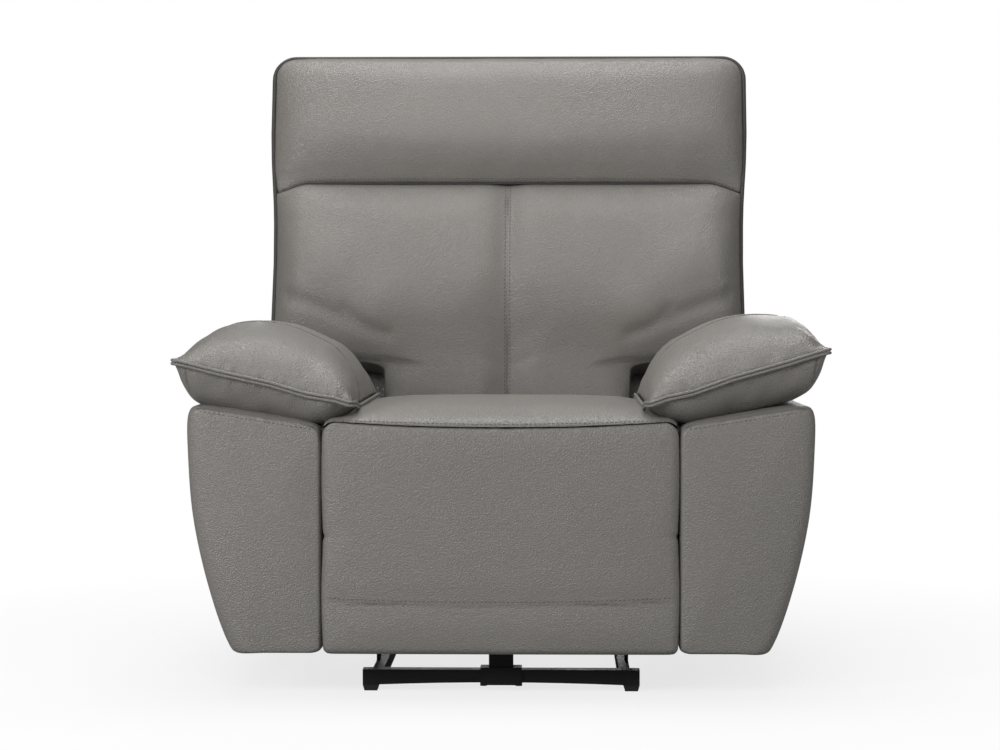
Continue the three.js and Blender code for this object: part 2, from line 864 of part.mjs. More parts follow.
function armBody(side) {
  const insets = [[0, 12], [3, 5], [10, 1], [20, 0]];
  const rear = armFront + armDepth;
  const rings = insets.map(([step, inset]) => armRing(side, armFront + step, inset));
  insets.reverse().forEach(([step, inset]) => rings.push(armRing(side, rear - step, inset)));
  const body = loft(rings);
  return side === panelSide ? cut(body, panelPocket()) : body;
}

// One section across an arm pad: an arch from the outer seam to the inner one, and the underside.
// growth is its share of the full loft, spread draws both seams in, sink lowers the underside.
function armPadRing(side, y, growthShare, spread, sinkShare) {
  const [archSteps, fullness, flatness, seamTiltShare] = [12, 2.3, 2.1, 0.3];
  const tilt = spread * seamTiltShare;
  const outer = { x: armPadTipHalfWidth - spread, z: padSeamOuter - tilt };
  const inner = { x: armPadInnerHalfWidth + spread, z: padSeamInner + tilt };
  const points = [];
  for (let i = 0; i <= archSteps; i += 1) {
    const t = (1 - Math.cos((Math.PI * i) / archSteps)) / 2;
    const arch = (1 - Math.abs(2 * t - 1) ** fullness) ** (1 / flatness);
    points.push([
      outer.x + (inner.x - outer.x) * t,
      outer.z + (inner.z - outer.z) * t + padLoft * growthShare * arch,
    ]);
  }
  const band = 17;
  const edgeRoom = 6;
  const restInset = 25;
  const [bottomInner, bottomOuter] = [seatHalfWidth + edgeRoom, armHalfWidth - edgeRoom];
  const rest = (x) => [x, armTopAt(x) + gap + band * (1 - sinkShare)];
  points.push([bottomInner, armTopAt(bottomInner) + band]);
  points.push(rest(bottomInner + restInset));
  points.push(rest((bottomInner + bottomOuter) / 2));
  points.push(rest(bottomOuter - restInset));
  points.push([bottomOuter, armTopAt(bottomOuter) + band]);
  return points.map(([x, z]) => new THREE.Vector3(side * x, y, z));
}

function armPad(side) {
  const stationShares = [0, 0.012, 0.04, 0.1, 0.18, 0.28, 0.4, 0.55, 0.7, 0.83, 0.93, 0.98, 1];
  const [crestShare, rearShare, rearDropShare, endLoftShare] = [0.36, 0.6, 0.45, 0.1];
  const [spreadShare, sinkShare, endSpread] = [0.035, 0.05, 20];
  const rings = stationShares.map((share) => {
    const front = Math.min(1, share / crestShare);
    const rise = Math.max(endLoftShare, Math.sqrt(1 - (1 - front) ** 2));
    const growthShare = rise * (1 - rearDropShare * ease(share, rearShare, 1));
    const edge = Math.min(share, 1 - share);
    const spread = endSpread * (1 - ease(edge, 0, spreadShare));
    return armPadRing(side, share * padDepth, growthShare, spread, ease(edge, 0, sinkShare));
  });
  return loft(rings);
}

// Control panel in the outer face of one arm, with four buttons
const panelSide = -1;
const buttonNames = ['button_back_down', 'button_back_up', 'button_feet_up', 'button_feet_down'];
const panelBack = 143; // from the arm's front face to the panel's middle
const panelDrop = 80; // from the arm's top edge to the panel's middle
const panel = {
  y: armFront + panelBack,
  z: armTopOuter - panelDrop,
  length: 104,
  height: 40,
  depth: 12,
};
const buttonSize = 14;
const buttonPitch = 22;
const buttonProud = 1.6;
const buttonRoom = 2; // the travel left behind a button
const panelFloor = 2;
const panelProud = 1.5;
const panelFace = armHalfWidth + panelProud;

function panelBlock(grow, depth) {
  return block(
    onSide(panelSide, panelFace - depth, panelFace + Math.max(0, grow) * overrun),
    [panel.y - panel.length / 2 - grow, panel.y + panel.length / 2 + grow],
    [panel.z - panel.height / 2 - grow, panel.z + panel.height / 2 + grow],
  );
}

function panelPocket() {
  return panelBlock(gap, panel.depth + gap);
}

function buttonBlock(index, x, grow) {
  const y = panel.y + (index - (buttonNames.length - 1) / 2) * buttonPitch;
  const half = buttonSize / 2 + grow;
  return block(onSide(panelSide, ...x), [y - half, y + half], [panel.z - half, panel.z + half]);
}

function controlPanel() {
  const floor = panelFace - panel.depth + panelFloor;
  const wells = buttonNames.map((_, i) => buttonBlock(i, [floor, panelFace + overrun], gap));
  return cut(panelBlock(0, panel.depth), ...wells);
}

function button(index) {
  const floor = panelFace - panel.depth + panelFloor + buttonRoom + gap;
  return buttonBlock(index, [floor, panelFace + buttonProud], 0);
}

// Hinge brackets on the outer faces of the side boards
const backPinRadius = 6;
const hingePinRadius = 4;

function flapHingeBracket(side) {
  const x = onSide(side, hingeLayer, hingeLayer + hingePlate);
  const kneeBack = 75;
  const kneeDrop = 112;
  const heelBack = 52;
  const heelDrop = 18;
  const knee = { y: flapHinge.y + kneeBack, z: flapHinge.z - kneeDrop };
  const heel = { y: knee.y + heelBack, z: knee.z - heelDrop };
  return unite(
    plateAcross(linkShape(knee, flapHinge, linkHalfWidth), x),
    plateAcross(linkShape(knee, heel, boss), x),
    rod(flapHinge, hingePinRadius, onSide(side, flapArmLayer, hingeLayer + hingePlate)),
  );
}

function backHingeBracket(side) {
  const x = onSide(side, hingeLayer, hingeLayer + hingePlate);
  const reach = 110;
  const rise = 8;
  const halfWidth = 26;
  const pinDepth = 30;
  const heel = { y: backHinge.y - reach, z: backHinge.z + rise };
  return unite(
    plateAcross(linkShape(heel, backHinge, halfWidth), x),
    rod(backHinge, backPinRadius, onSide(side, backPostOuter - pinDepth, hingeLayer + hingePlate)),
  );
}

// Front of the chair: a hinged flap under the seat edge, and the footrest below it
const footArmLength = 110;

function flapArm(side) {
  const x = onSide(side, flapArmLayer, flapArmLayer + plate);
  const holeX = onSide(side, flapArmLayer - overrun, flapArmLayer + plate + overrun);
  const web = block(x, [flapHinge.y, legBoardRear], [notchHinge.z + boss, flapHinge.z - hingeRoll]);
  return cut(
    unite(plateAcross(linkShape(flapHinge, notchHinge, linkHalfWidth), x), web),
    rod(flapHinge, hingePinRadius + running, holeX),
    rod(notchHinge, hingePinRadius + running, holeX),
  );
}

function footArm(side) {
  const x = onSide(side, footArmLayer, footArmLayer + plate);
  const foot = notchHinge.z - footArmLength;
  const flange = 4;
  const flangeTop = 8;
  const flangeHeight = 54;
  const corner = 3;
  const strap = { y: notchHinge.y, z: foot };
  const flangeY = [legBoardRear + gap, legBoardRear + gap + flange];
  const flangeZ = [notchHinge.z - flangeTop - flangeHeight, notchHinge.z - flangeTop];
  const bracketX = onSide(side, footBracketLayer, footBracketLayer + plate);
  const bracket = roundedOutline([
    [flangeY[0], flangeZ[1]],
    [flangeY[0], flangeZ[0]],
    [flangeY[1] + flange, flangeZ[0]],
    [footPin.y + linkHalfWidth, footPin.z - linkHalfWidth],
    [footPin.y + linkHalfWidth, flangeZ[1]],
  ], corner);
  const pinX = onSide(side, footArmLayer + plate / 2, flapArmLayer + plate + layerGap / 2);
  const footPinX = onSide(side, pushLayer - layerGap / 3, footBracketLayer + plate / 2);
  return unite(
    plateAcross(linkShape(notchHinge, strap, linkHalfWidth), x),
    block(x, [notchHinge.y, flangeY[1]], [foot, flangeZ[1]]),
    block(onSide(side, footBracketLayer, footArmLayer + plate), flangeY, flangeZ),
    plateAcross(bracket, bracketX, 3),
    rod(notchHinge, hingePinRadius, pinX),
    rod(footPin, pivotPin, footPinX),
  );
}

// A pad is a rounded slab with a crowned front and drawn-in sides
function legPad(bottom, top) {
  const height = top - bottom;
  const round = 10;
  const sideDrawShare = 0.4;
  const size = [2 * seatHalfWidth, legPadThickness, height];
  return softBlock(size, round, [6, 1, 4], (point, [u, v, w]) => {
    const front = (1 - v) / 2;
    const flat = legPadBulge * front * (1 - (1 - u ** 6) * (1 - w ** 4));
    const waist = legPadBulge * Math.abs(u) ** 3 * w * w * sideDrawShare;
    return new THREE.Vector3(
      point.x - Math.sign(u) * waist,
      point.y + legPadThickness / 2 + flat,
      point.z + (bottom + top) / 2,
    );
  });
}

// Room in a pad's back for the steel arms at both sides
function armRebate(near, bottom, top) {
  const skin = flapHinge.y - linkHalfWidth - gap;
  const far = seatHalfWidth + overrun;
  return unite(...[-1, 1].map((side) => block(
    onSide(side, near, far),
    [skin, legBoardRear + hingeRoll],
    [bottom, top],
  )));
}

// The flap pad has a roll along its top that turns about the hinge. Past the steel arms only the
// roll's front part goes on, as a hollow nose that clears the hinge brackets as it turns.
function flapPad() {
  const bottom = notchHinge.z + legPadParting;
  const rollX = flapArmLayer - gap;
  const noseStart = linkHalfWidth / 2;
  const pad = legPad(bottom, flapHinge.z + linkHalfWidth);
  const roll = rod(flapHinge, hingeRoll, [-rollX, rollX], 24);
  const noseOuter = rod(flapHinge, hingeRoll, [-seatHalfWidth, seatHalfWidth], 24);
  const noseInner = rod(flapHinge, linkHalfWidth + gap, [-seatHalfWidth, seatHalfWidth], 24);
  const allAcross = [-seatHalfWidth - overrun, seatHalfWidth + overrun];
  const behind = block(
    allAcross,
    [flapHinge.y - noseStart, flapHinge.y + 2 * hingeRoll],
    [flapHinge.z - hingeRoll * 2, flapHinge.z + hingeRoll * 2],
  );
  const below = block(allAcross, [-overrun, flapHinge.y + hingeRoll * 2], [panelBottom, flapHinge.z]);
  const above = block(
    allAcross,
    [-overrun, legBoardRear + hingeRoll],
    [flapHinge.z, flapHinge.z + hingeRoll * 2],
  );
  const capped = cut(
    pad,
    above,
    armRebate(rollX, notchHinge.z - boss, flapHinge.z + boss),
    armRebate(footArmLayer - gap, panelBottom, notchHinge.z + boss),
  );
  return unite(capped, roll, cut(noseOuter, noseInner, behind, below));
}

function flapBoard() {
  const end = flapArmLayer - gap;
  const z = [notchHinge.z + linkHalfWidth, flapHinge.z - hingeRoll - gap];
  return block([-end, end], [legBoardFront, legBoardRear], z);
}

function footrestPad() {
  const pad = legPad(panelBottom, notchHinge.z - legPadParting);
  return cut(pad, armRebate(footArmLayer - gap, notchHinge.z - footArmLength - boss, notchHinge.z));
}

function footrestBoard() {
  const end = footArmLayer - gap;
  const inset = 8;
  const z = [panelBottom + inset, notchHinge.z - inset / 2];
  return block([-end, end], [legBoardFront, legBoardRear], z);
}

// Back: a timber frame, a stuffed cover in front and a leather panel behind
const backPostInner = 232;
const backPostOuter = 268;
const wingRise = 20; // the wing's frame starts this far above the wing's foot
const coverInset = 4;

function backFrame() {
  const y = [backFrameFront, backFrameRear];
  const foot = -22;
  const railHeight = 60;
  const topInset = 28;
  const lug = 24;
  const lugHalfWidth = 22;
  const wingEdge = backHalfWidth - wingRise;
  const wingBottom = wingFoot + wingRise;
  const top = backTop - topInset;
  const holeX = backPostOuter + overrun;
  let frame = unite(
    block([-backPostOuter, backPostOuter], y, [foot, foot + railHeight]),
    block([-backPostOuter, backPostOuter], y, [wingBottom, wingBottom + railHeight]),
    block([-wingEdge, wingEdge], y, [top - railHeight, top]),
  );
  [-1, 1].forEach((side) => {
    const x = onSide(side, backPostInner, backPostOuter);
    const lugShape = linkShape({ y: 0, z: 0 }, { y: backFrameFront + lug, z: 0 }, lugHalfWidth);
    frame = unite(
      frame,
      block(x, y, [foot, top]),
      block(onSide(side, backPostInner, wingEdge), y, [wingBottom, top]),
      plateAcross(lugShape, x),
    );
  });
  return cut(frame, rod({ y: 0, z: 0 }, backPinRadius + running, [-holeX, holeX]));
}

// One level of the lower back cushion: width, front and rear at height h
function backRing(h, halfWidth, front, edge) {
  const rear = backFrameFront - gap;
  const [steps, squareness] = [28, 0.36];
  const points = [];
  for (let i = 0; i < steps; i += 1) {
    const angle = (2 * Math.PI * i) / steps;
    const [c, s] = [Math.cos(angle), Math.sin(angle)];
    const u = Math.sign(c) * Math.abs(c) ** squareness;
    const v = Math.sign(s) * Math.abs(s) ** squareness;
    const middle = (rear - front) / 2;
    const reach = (rear + front) / 2;
    points.push(new THREE.Vector3(u * (halfWidth - edge), middle + v * (reach - edge), h));
  }
  return points;
}

function backCushion() {
  const top = headrestSeam - gap;
  const bottom = backCushionFoot;
  const draw = 14;
  const waist = 7;
  const belly = 4;
  const topFall = 20;
  const faceInset = 4;
  const wingEase = 26;
  const [fallShare, endShare] = [0.45, 0.04];
  const shares = [0, 0.012, 0.05, 0.15, 0.28, 0.4, 0.46, 0.5, 0.56, 0.66, 0.8, 0.92, 0.98, 1];
  const rings = shares.map((share) => {
    const h = bottom + (top - bottom) * share;
    const wing = ease(h, wingFoot - wingRise, wingFoot + wingEase);
    const swell = Math.sin(Math.PI * share);
    const widening = (backHalfWidth - backWaistHalfWidth) * wing;
    const halfWidth = backWaistHalfWidth + widening - waist * swell;
    const front = backFrontFace - faceInset - topFall * ease(share, fallShare, 1) + belly * swell;
    const endEase = 1 - ease(Math.min(share, 1 - share), 0, endShare);
    return backRing(h, halfWidth, front, draw * endEase);
  });
  return loft(rings);
}

function headrest() {
  const round = 38;
  const faceInset = 12;
  const bulge = 16;
  const topFall = 26;
  const rear = backFrameFront - gap;
  const thickness = backFrontFace - faceInset + rear;
  const height = backTop - headrestSeam;
  const size = [2 * backHalfWidth, thickness, height];
  return softBlock(size, round, [8, 1, 3], (point, [u, v, w]) => {
    const front = (1 - v) / 2;
    const swell = bulge * front * (1 - u ** 4) * (1 - w * w);
    const fall = topFall * front * ease(w, 0, 1);
    return new THREE.Vector3(
      point.x,
      point.y + rear - thickness / 2 - swell + fall,
      point.z + headrestSeam + height / 2,
    );
  });
}

// The rear cover is a leather panel with walls that wrap the frame's sides and top
function rearCover() {
  const low = backPostOuter + coverWall + layerGap;
  const high = backHalfWidth - coverInset;
  const [foot, top, corner] = [-20, backTop - coverInset * 2, 24];
  const wallBottom = 120;
  const legRoom = 150;
  const seamStep = 2;
  const tee = (grow, start) => roundedOutline([
    [-low - grow, start],
    [low + grow, start],
    [low + grow, wingFoot - grow],
    [high + grow, wingFoot - grow],
    [high + grow, top + grow],
    [-high - grow, top + grow],
    [-high - grow, wingFoot - grow],
    [-low - grow, wingFoot - grow],
  ], corner + grow);
  const rear = backRearFace;
  const front = backFrameFront + gap;
  const hollow = [front - overrun, rear - coverPanel];
  const panelPart = plateFacing(tee(0, foot), [rear - coverPanel, rear], 3);
  const shell = plateFacing(tee(0, wallBottom), [front, rear - seamStep], 3);
  const inside = plateFacing(tee(-coverWall, backCushionFoot), hollow, 3);
  const open = block([-low + coverWall, low - coverWall], hollow, [foot - overrun, legRoom]);
  return unite(panelPart, cut(shell, inside, open));
}

// Assembly

const sides = [['left', -1], ['right', 1]];

add(chair, 'base_front_bar', frontBar(), blackSteel());
add(chair, 'base_rear_tube', rearTube(), blackSteel());
add(chair, 'motor_mount', motorMount(), blackSteel());
add(chair, 'recline_rail', reclineRail(), zincSteel());
add(chair, 'recline_motor', reclineMotor(), blackPlastic());
add(chair, 'recline_slider', reclineSlider(), blackPlastic());
add(chair, 'lift_cross_tube', liftCrossTube(), blackSteel());
add(chair, 'seat_front_rail', frontSeatRail(), timber());
add(chair, 'seat_rear_rail', seatRail(rearRailY), timber());
add(chair, 'seat_spring_unit', springUnit(), zincSteel());
add(chair, 'seat_cushion', seatCushion(), leather());
add(chair, 'footrest_motor', footrestMotor(), blackPlastic());
add(chair, 'footrest_rail', footrestRail(), zincSteel());
add(chair, 'footrest_slider', footrestSlider(), blackPlastic());
add(chair, 'torque_tube', torqueTube(), blackSteel());
add(chair, 'flap_board', flapBoard(), timber());
add(chair, 'flap_pad', flapPad(), leather());
add(chair, 'footrest_board', footrestBoard(), timber());
add(chair, 'footrest_pad', footrestPad(), leather());
add(chair, 'control_panel', controlPanel(), blackPlastic());

buttonNames.forEach((name, index) => add(chair, name, button(index), greyPlastic()));

sides.forEach(([word, side]) => {
  add(chair, `foot_front_${word}`, foot(side, frontBarY), blackPlastic());
  add(chair, `foot_rear_${word}`, foot(side, rearBarY), blackPlastic());
  add(chair, `base_rail_${word}`, baseRail(side), blackSteel());
  add(chair, `front_lift_link_${word}`, liftLink(side, frontLiftFoot, frontLiftHead, true), blackSteel());
  add(chair, `rear_lift_link_${word}`, liftLink(side, rearLiftFoot, rearLiftHead, false), blackSteel());
  add(chair, `seat_plate_${word}`, seatPlate(side), blackSteel());
  add(chair, `drive_link_${word}`, driveLink(side), blackSteel());
  add(chair, `push_link_${word}`, pushLink(side), blackSteel());
  add(chair, `side_board_${word}`, sideBoard(side), timber());
  add(chair, `flap_hinge_${word}`, flapHingeBracket(side), blackSteel());
  add(chair, `back_hinge_${word}`, backHingeBracket(side), blackSteel());
  add(chair, `flap_arm_${word}`, flapArm(side), blackSteel());
  add(chair, `footrest_arm_${word}`, footArm(side), blackSteel());
  add(chair, `arm_body_${word}`, armBody(side), leather());
  add(chair, `arm_pad_${word}`, armPad(side), leather());
});

add(back, 'back_frame', backFrame(), timber());
add(back, 'back_cushion', backCushion(), leather());
add(back, 'headrest', headrest(), leather());
add(back, 'back_rear_cover', rearCover(), backLeather());

back.position.set(0, backHinge.y, backHinge.z);
back.rotation.x = -backLean;
chair.add(back);

// The origin goes under the middle of the box
const rearmost = backHinge.y + backRearFace * Math.cos(backLean) + backTop * Math.sin(backLean);
chair.position.y = -rearmost / 2;

export default chair;
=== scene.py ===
import math

import bmesh
import bpy
import numpy as np
from mathutils import Matrix, Vector, bvhtree, kdtree, noise


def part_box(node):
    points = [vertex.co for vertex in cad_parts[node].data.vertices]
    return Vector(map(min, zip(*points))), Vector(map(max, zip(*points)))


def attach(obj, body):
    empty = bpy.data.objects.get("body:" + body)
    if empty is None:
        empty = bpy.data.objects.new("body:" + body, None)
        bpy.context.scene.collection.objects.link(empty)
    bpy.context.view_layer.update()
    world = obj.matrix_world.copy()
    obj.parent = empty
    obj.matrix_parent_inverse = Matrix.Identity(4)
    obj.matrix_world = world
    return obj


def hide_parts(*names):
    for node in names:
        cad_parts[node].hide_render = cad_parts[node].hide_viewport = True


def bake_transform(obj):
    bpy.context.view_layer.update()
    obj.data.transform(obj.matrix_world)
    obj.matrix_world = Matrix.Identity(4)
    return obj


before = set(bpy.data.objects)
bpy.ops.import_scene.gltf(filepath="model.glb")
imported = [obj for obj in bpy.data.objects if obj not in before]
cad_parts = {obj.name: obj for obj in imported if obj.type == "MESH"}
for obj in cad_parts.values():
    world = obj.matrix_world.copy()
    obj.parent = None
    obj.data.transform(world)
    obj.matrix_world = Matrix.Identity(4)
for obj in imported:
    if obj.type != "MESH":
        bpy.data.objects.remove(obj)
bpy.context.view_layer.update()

scene = bpy.context.scene

# The camera. The photograph looks at the chair from the front, 4 m from its leg rest, from just above
# seat height, and a little from the sitter's left.
view_distance = 4.0
view_aside = 0.087
view_height = 0.664
view_down = math.radians(2.02)
front_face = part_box("flap_pad")[0].y
camera_data = bpy.data.cameras.new("photo_camera")
camera_data.sensor_width = 36
camera_data.lens = 89.7
camera_data.clip_end = 60
camera = bpy.data.objects.new("photo_camera", camera_data)
camera.location = (view_aside, front_face - view_distance, view_height)
camera.rotation_euler = (math.pi / 2 - view_down, 0, math.atan2(view_aside, view_distance))
scene.collection.objects.link(camera)
scene.camera = camera

# The studio. A pale floor that keeps the chair's shadow, a white surround, and five soft lamps: wide ones
# above the chair, in front of it and behind it, and a narrow one at each side.
scene.view_settings.view_transform = "Standard"


def node_adder(tree):
    """A way to add nodes with their settings and inputs, which other nodes can feed, and a way to link them."""

    def node(kind, **values):
        made = tree.nodes.new(kind)
        for key, value in values.items():
            if isinstance(value, bpy.types.NodeSocket):
                tree.links.new(value, made.inputs[key])
            elif key in made.inputs:
                made.inputs[key].default_value = value
            else:
                setattr(made, key, value)
        return made

    return node, tree.links.new


def paint(name):
    """A new material, its surface shader, and ways to add and link more nodes."""
    material = bpy.data.materials.new(name)
    material.use_nodes = True
    return material, material.node_tree.nodes["Principled BSDF"], *node_adder(material.node_tree)


def spanned(node, value, low, high, start=0.0, end=1.0):
    """A value that runs from low to high while another one runs from start to end."""
    ends = {"From Min": start, "From Max": end, "To Min": low, "To Max": high}
    return node("ShaderNodeMapRange", Value=value, **ends).outputs["Result"]


def mixed(node, link, share, first, second):
    """One shader laid over another by a share."""
    mix = node("ShaderNodeMixShader")
    for socket, value in enumerate((share, first, second)):
        link(value, mix.inputs[socket])
    return mix.outputs[0]


def soft_lamp(name, place, aim, size, power):
    data = bpy.data.lights.new(name, "AREA")
    data.shape = "RECTANGLE"
    data.size, data.size_y = size
    data.energy = power
    lamp = bpy.data.objects.new(name, data)
    lamp.location = place
    lamp.rotation_euler = (Vector(aim) - Vector(place)).to_track_quat("-Z", "Y").to_euler()
    scene.collection.objects.link(lamp)


def studio():
    half = 30
    mesh = bpy.data.meshes.new("studio_floor")
    mesh.from_pydata([(-half, -half, 0), (half, -half, 0), (half, half, 0), (-half, half, 0)], [], [(0, 1, 2, 3)])
    floor = bpy.data.objects.new("studio_floor", mesh)
    scene.collection.objects.link(floor)
    material, shader, node, link = paint("pale_floor")
    shader.inputs["Base Color"].default_value = (0.86, 0.86, 0.86, 1)
    shader.inputs["Roughness"].default_value = 0.9
    glow = node("ShaderNodeEmission", Color=(1, 1, 1, 1), Strength=1.0)
    dim = node("ShaderNodeBsdfDiffuse", Color=(0.34, 0.34, 0.34, 1))
    path = node("ShaderNodeLightPath")
    away = node("ShaderNodeVectorMath", operation="LENGTH")
    link(node("ShaderNodeTexCoord").outputs["Object"], away.inputs[0])
    share = spanned(node, away.outputs["Value"], 0.76, 1.0, 0.4, 1.5)
    seen = mixed(node, link, share, shader.outputs[0], glow.outputs[0])
    surface = mixed(node, link, path.outputs["Is Camera Ray"], dim.outputs[0], seen)
    link(surface, material.node_tree.nodes["Material Output"].inputs["Surface"])
    mesh.materials.append(material)

    world = bpy.data.worlds.new("white_studio")
    scene.world = world
    world.use_nodes = True
    node, link = node_adder(world.node_tree)
    plain = world.node_tree.nodes["Background"]
    plain.inputs["Color"].default_value = (1, 1, 1, 1)
    plain.inputs["Strength"].default_value = 0.06
    white = node("ShaderNodeBackground", Color=(1, 1, 1, 1), Strength=1.0)
    path = node("ShaderNodeLightPath")
    seen = node("ShaderNodeMath", operation="MAXIMUM")
    link(path.outputs["Is Camera Ray"], seen.inputs[0])
    link(path.outputs["Is Transmission Ray"], seen.inputs[1])
    surround = mixed(node, link, seen.outputs[0], plain.outputs[0], white.outputs[0])
    link(surround, world.node_tree.nodes["World Output"].inputs["Surface"])

    soft_lamp("lamp_above", (-0.1, 0.25, 3.1), (0, -0.1, 0.5), (2.6, 1.4), 58)
    soft_lamp("lamp_front", (-0.5, -3.9, 2.7), (0, 0, 0.45), (2.4, 1.3), 58)
    soft_lamp("lamp_left", (-2.3, -2.5, 1.4), (0, 0.1, 0.7), (0.5, 1.3), 43)
    soft_lamp("lamp_right", (2.6, -1.8, 1.4), (0, 0.1, 0.7), (0.5, 1.3), 15)
    soft_lamp("lamp_rear", (0.6, 4.2, 1.6), (0, 0.1, 0.5), (3.0, 1.6), 50)


studio()

# The base. A front bar, a rear tube and two rails of folded steel, powder coated black, on four moulded
# feet. A clamp bolted round the middle of the front bar carries the post of the recline actuator.


def mottle(node, place, scale, low, high):
    """A grey that drifts between two levels, for a finish that is never quite even."""
    drift = node("ShaderNodeTexNoise", Vector=place, Scale=scale, Detail=4.0, Roughness=0.6)
    return spanned(node, drift.outputs["Fac"], low, high)


def tinted(node, link, color, grey):
    """A colour made lighter or darker by a grey."""
    mix = node("ShaderNodeMix", data_type="RGBA", blend_type="MULTIPLY")
    mix.inputs[0].default_value = 1
    mix.inputs[6].default_value = (*color, 1)
    link(grey, mix.inputs[7])
    return mix.outputs[2]


def grainy(name, color, roughness, metallic, grain, depth, wear=0.0, specular=0.5):
    """A coated or moulded finish: an even colour, a fine grain, and paler worn edges."""
    material, shader, node, link = paint(name)
    shader.inputs["Metallic"].default_value = metallic
    shader.inputs["Specular IOR Level"].default_value = specular
    place = node("ShaderNodeTexCoord").outputs["Object"]
    tone = tinted(node, link, color, mottle(node, place, 14, 0.82, 1.16))
    if wear:
        edge = node("ShaderNodeNewGeometry").outputs["Pointiness"]
        worn = node("ShaderNodeMix", data_type="RGBA")
        worn.inputs[7].default_value = (*[min(1, c * 4 + 0.03) for c in color], 1)
        link(spanned(node, edge, 0.0, wear, 0.53, 0.62), worn.inputs[0])
        link(tone, worn.inputs[6])
        tone = worn.outputs[2]
    link(tone, shader.inputs["Base Color"])
    link(mottle(node, place, 40, roughness - 0.07, roughness + 0.07), shader.inputs["Roughness"])
    speck = node("ShaderNodeTexNoise", Vector=place, Scale=grain, Detail=2.0)
    bump = node("ShaderNodeBump", Strength=0.5, Distance=depth, Height=speck.outputs["Fac"])
    link(bump.outputs["Normal"], shader.inputs["Normal"])
    return material


def dress(finish, *nodes):
    """Gives CAD nodes a finish."""
    for name in nodes:
        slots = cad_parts[name].data.materials
        slots.clear()
        slots.append(finish)


powder_coat = grainy("black_powder_coat", (0.0055, 0.0052, 0.006), 0.46, 0.0, 900, 0.0004,
                     wear=0.12, specular=0.3)
foot_plastic = grainy("foot_plastic", (0.010, 0.010, 0.011), 0.55, 0.0, 600, 0.0003)
dress(powder_coat, "base_front_bar", "base_rear_tube", "base_rail_left", "base_rail_right", "motor_mount")
dress(foot_plastic, "foot_front_left", "foot_front_right", "foot_rear_left", "foot_rear_right")

# The lift linkage. Four pressed steel links and a cross tube carry the seat on the base, pinned with
# rivets, so that the seat moves forward as the back goes down.
dress(powder_coat, "front_lift_link_left", "front_lift_link_right", "rear_lift_link_left", "rear_lift_link_right",
      "lift_cross_tube", "seat_plate_left", "seat_plate_right")

# The recline actuator. A zinc plated rail with the screw inside, a black plastic slider and a gear
# motor in a moulded housing.
zinc = grainy("zinc_plate", (0.46, 0.47, 0.48), 0.36, 1.0, 500, 0.0002)
housing_plastic = grainy("housing_plastic", (0.016, 0.016, 0.017), 0.5, 0.0, 1100, 0.0004)
dress(zinc, "recline_rail", "footrest_rail")
dress(housing_plastic, "recline_motor", "recline_slider", "footrest_motor", "footrest_slider")

# The leg rest mechanism. Black pressed steel arms, links and brackets, and a torque tube that its own
# motor turns, pinned together with rivets. They swing the flap up and unfold the footrest from it.
dress(powder_coat, "torque_tube", "drive_link_left", "drive_link_right", "push_link_left", "push_link_right",
      "flap_arm_left", "flap_arm_right", "footrest_arm_left", "footrest_arm_right",
      "flap_hinge_left", "flap_hinge_right", "back_hinge_left", "back_hinge_right")

# The seat frame and back frame. Pine rails and plywood boards, raw and unvarnished, screwed to the steel
# plates, hinges and arms. Sinuous springs of plated wire run across the seat and carry the foam.


def raw_timber(name, color, rings):
    """Sawn timber: long grain lines across X with a little colour drift."""
    material, shader, node, link = paint(name)
    place = node("ShaderNodeTexCoord").outputs["Object"]
    stretch = node("ShaderNodeMapping", Vector=place, Scale=(1.2, 14, 14))
    grain = node("ShaderNodeTexNoise", Vector=stretch.outputs["Vector"], Scale=rings, Detail=6.0, Roughness=0.65,
                 Distortion=0.6).outputs["Fac"]
    link(tinted(node, link, color, spanned(node, grain, 0.68, 1.22)), shader.inputs["Base Color"])
    link(mottle(node, place, 60, 0.62, 0.8), shader.inputs["Roughness"])
    bump = node("ShaderNodeBump", Strength=0.35, Distance=0.0006, Height=grain)
    link(bump.outputs["Normal"], shader.inputs["Normal"])
    return material


pine = raw_timber("raw_pine", (0.52, 0.35, 0.19), 9)
plywood = raw_timber("raw_plywood", (0.45, 0.30, 0.17), 16)
dress(pine, "seat_front_rail", "seat_rear_rail", "back_frame")
dress(plywood, "side_board_left", "side_board_right", "flap_board", "footrest_board")
dress(zinc, "seat_spring_unit")

# The seat cushion. One leather cover over a foam block, with a crowned top. It rolls over the front edge
# and ends at an arched seam, topstitched on its upper side.


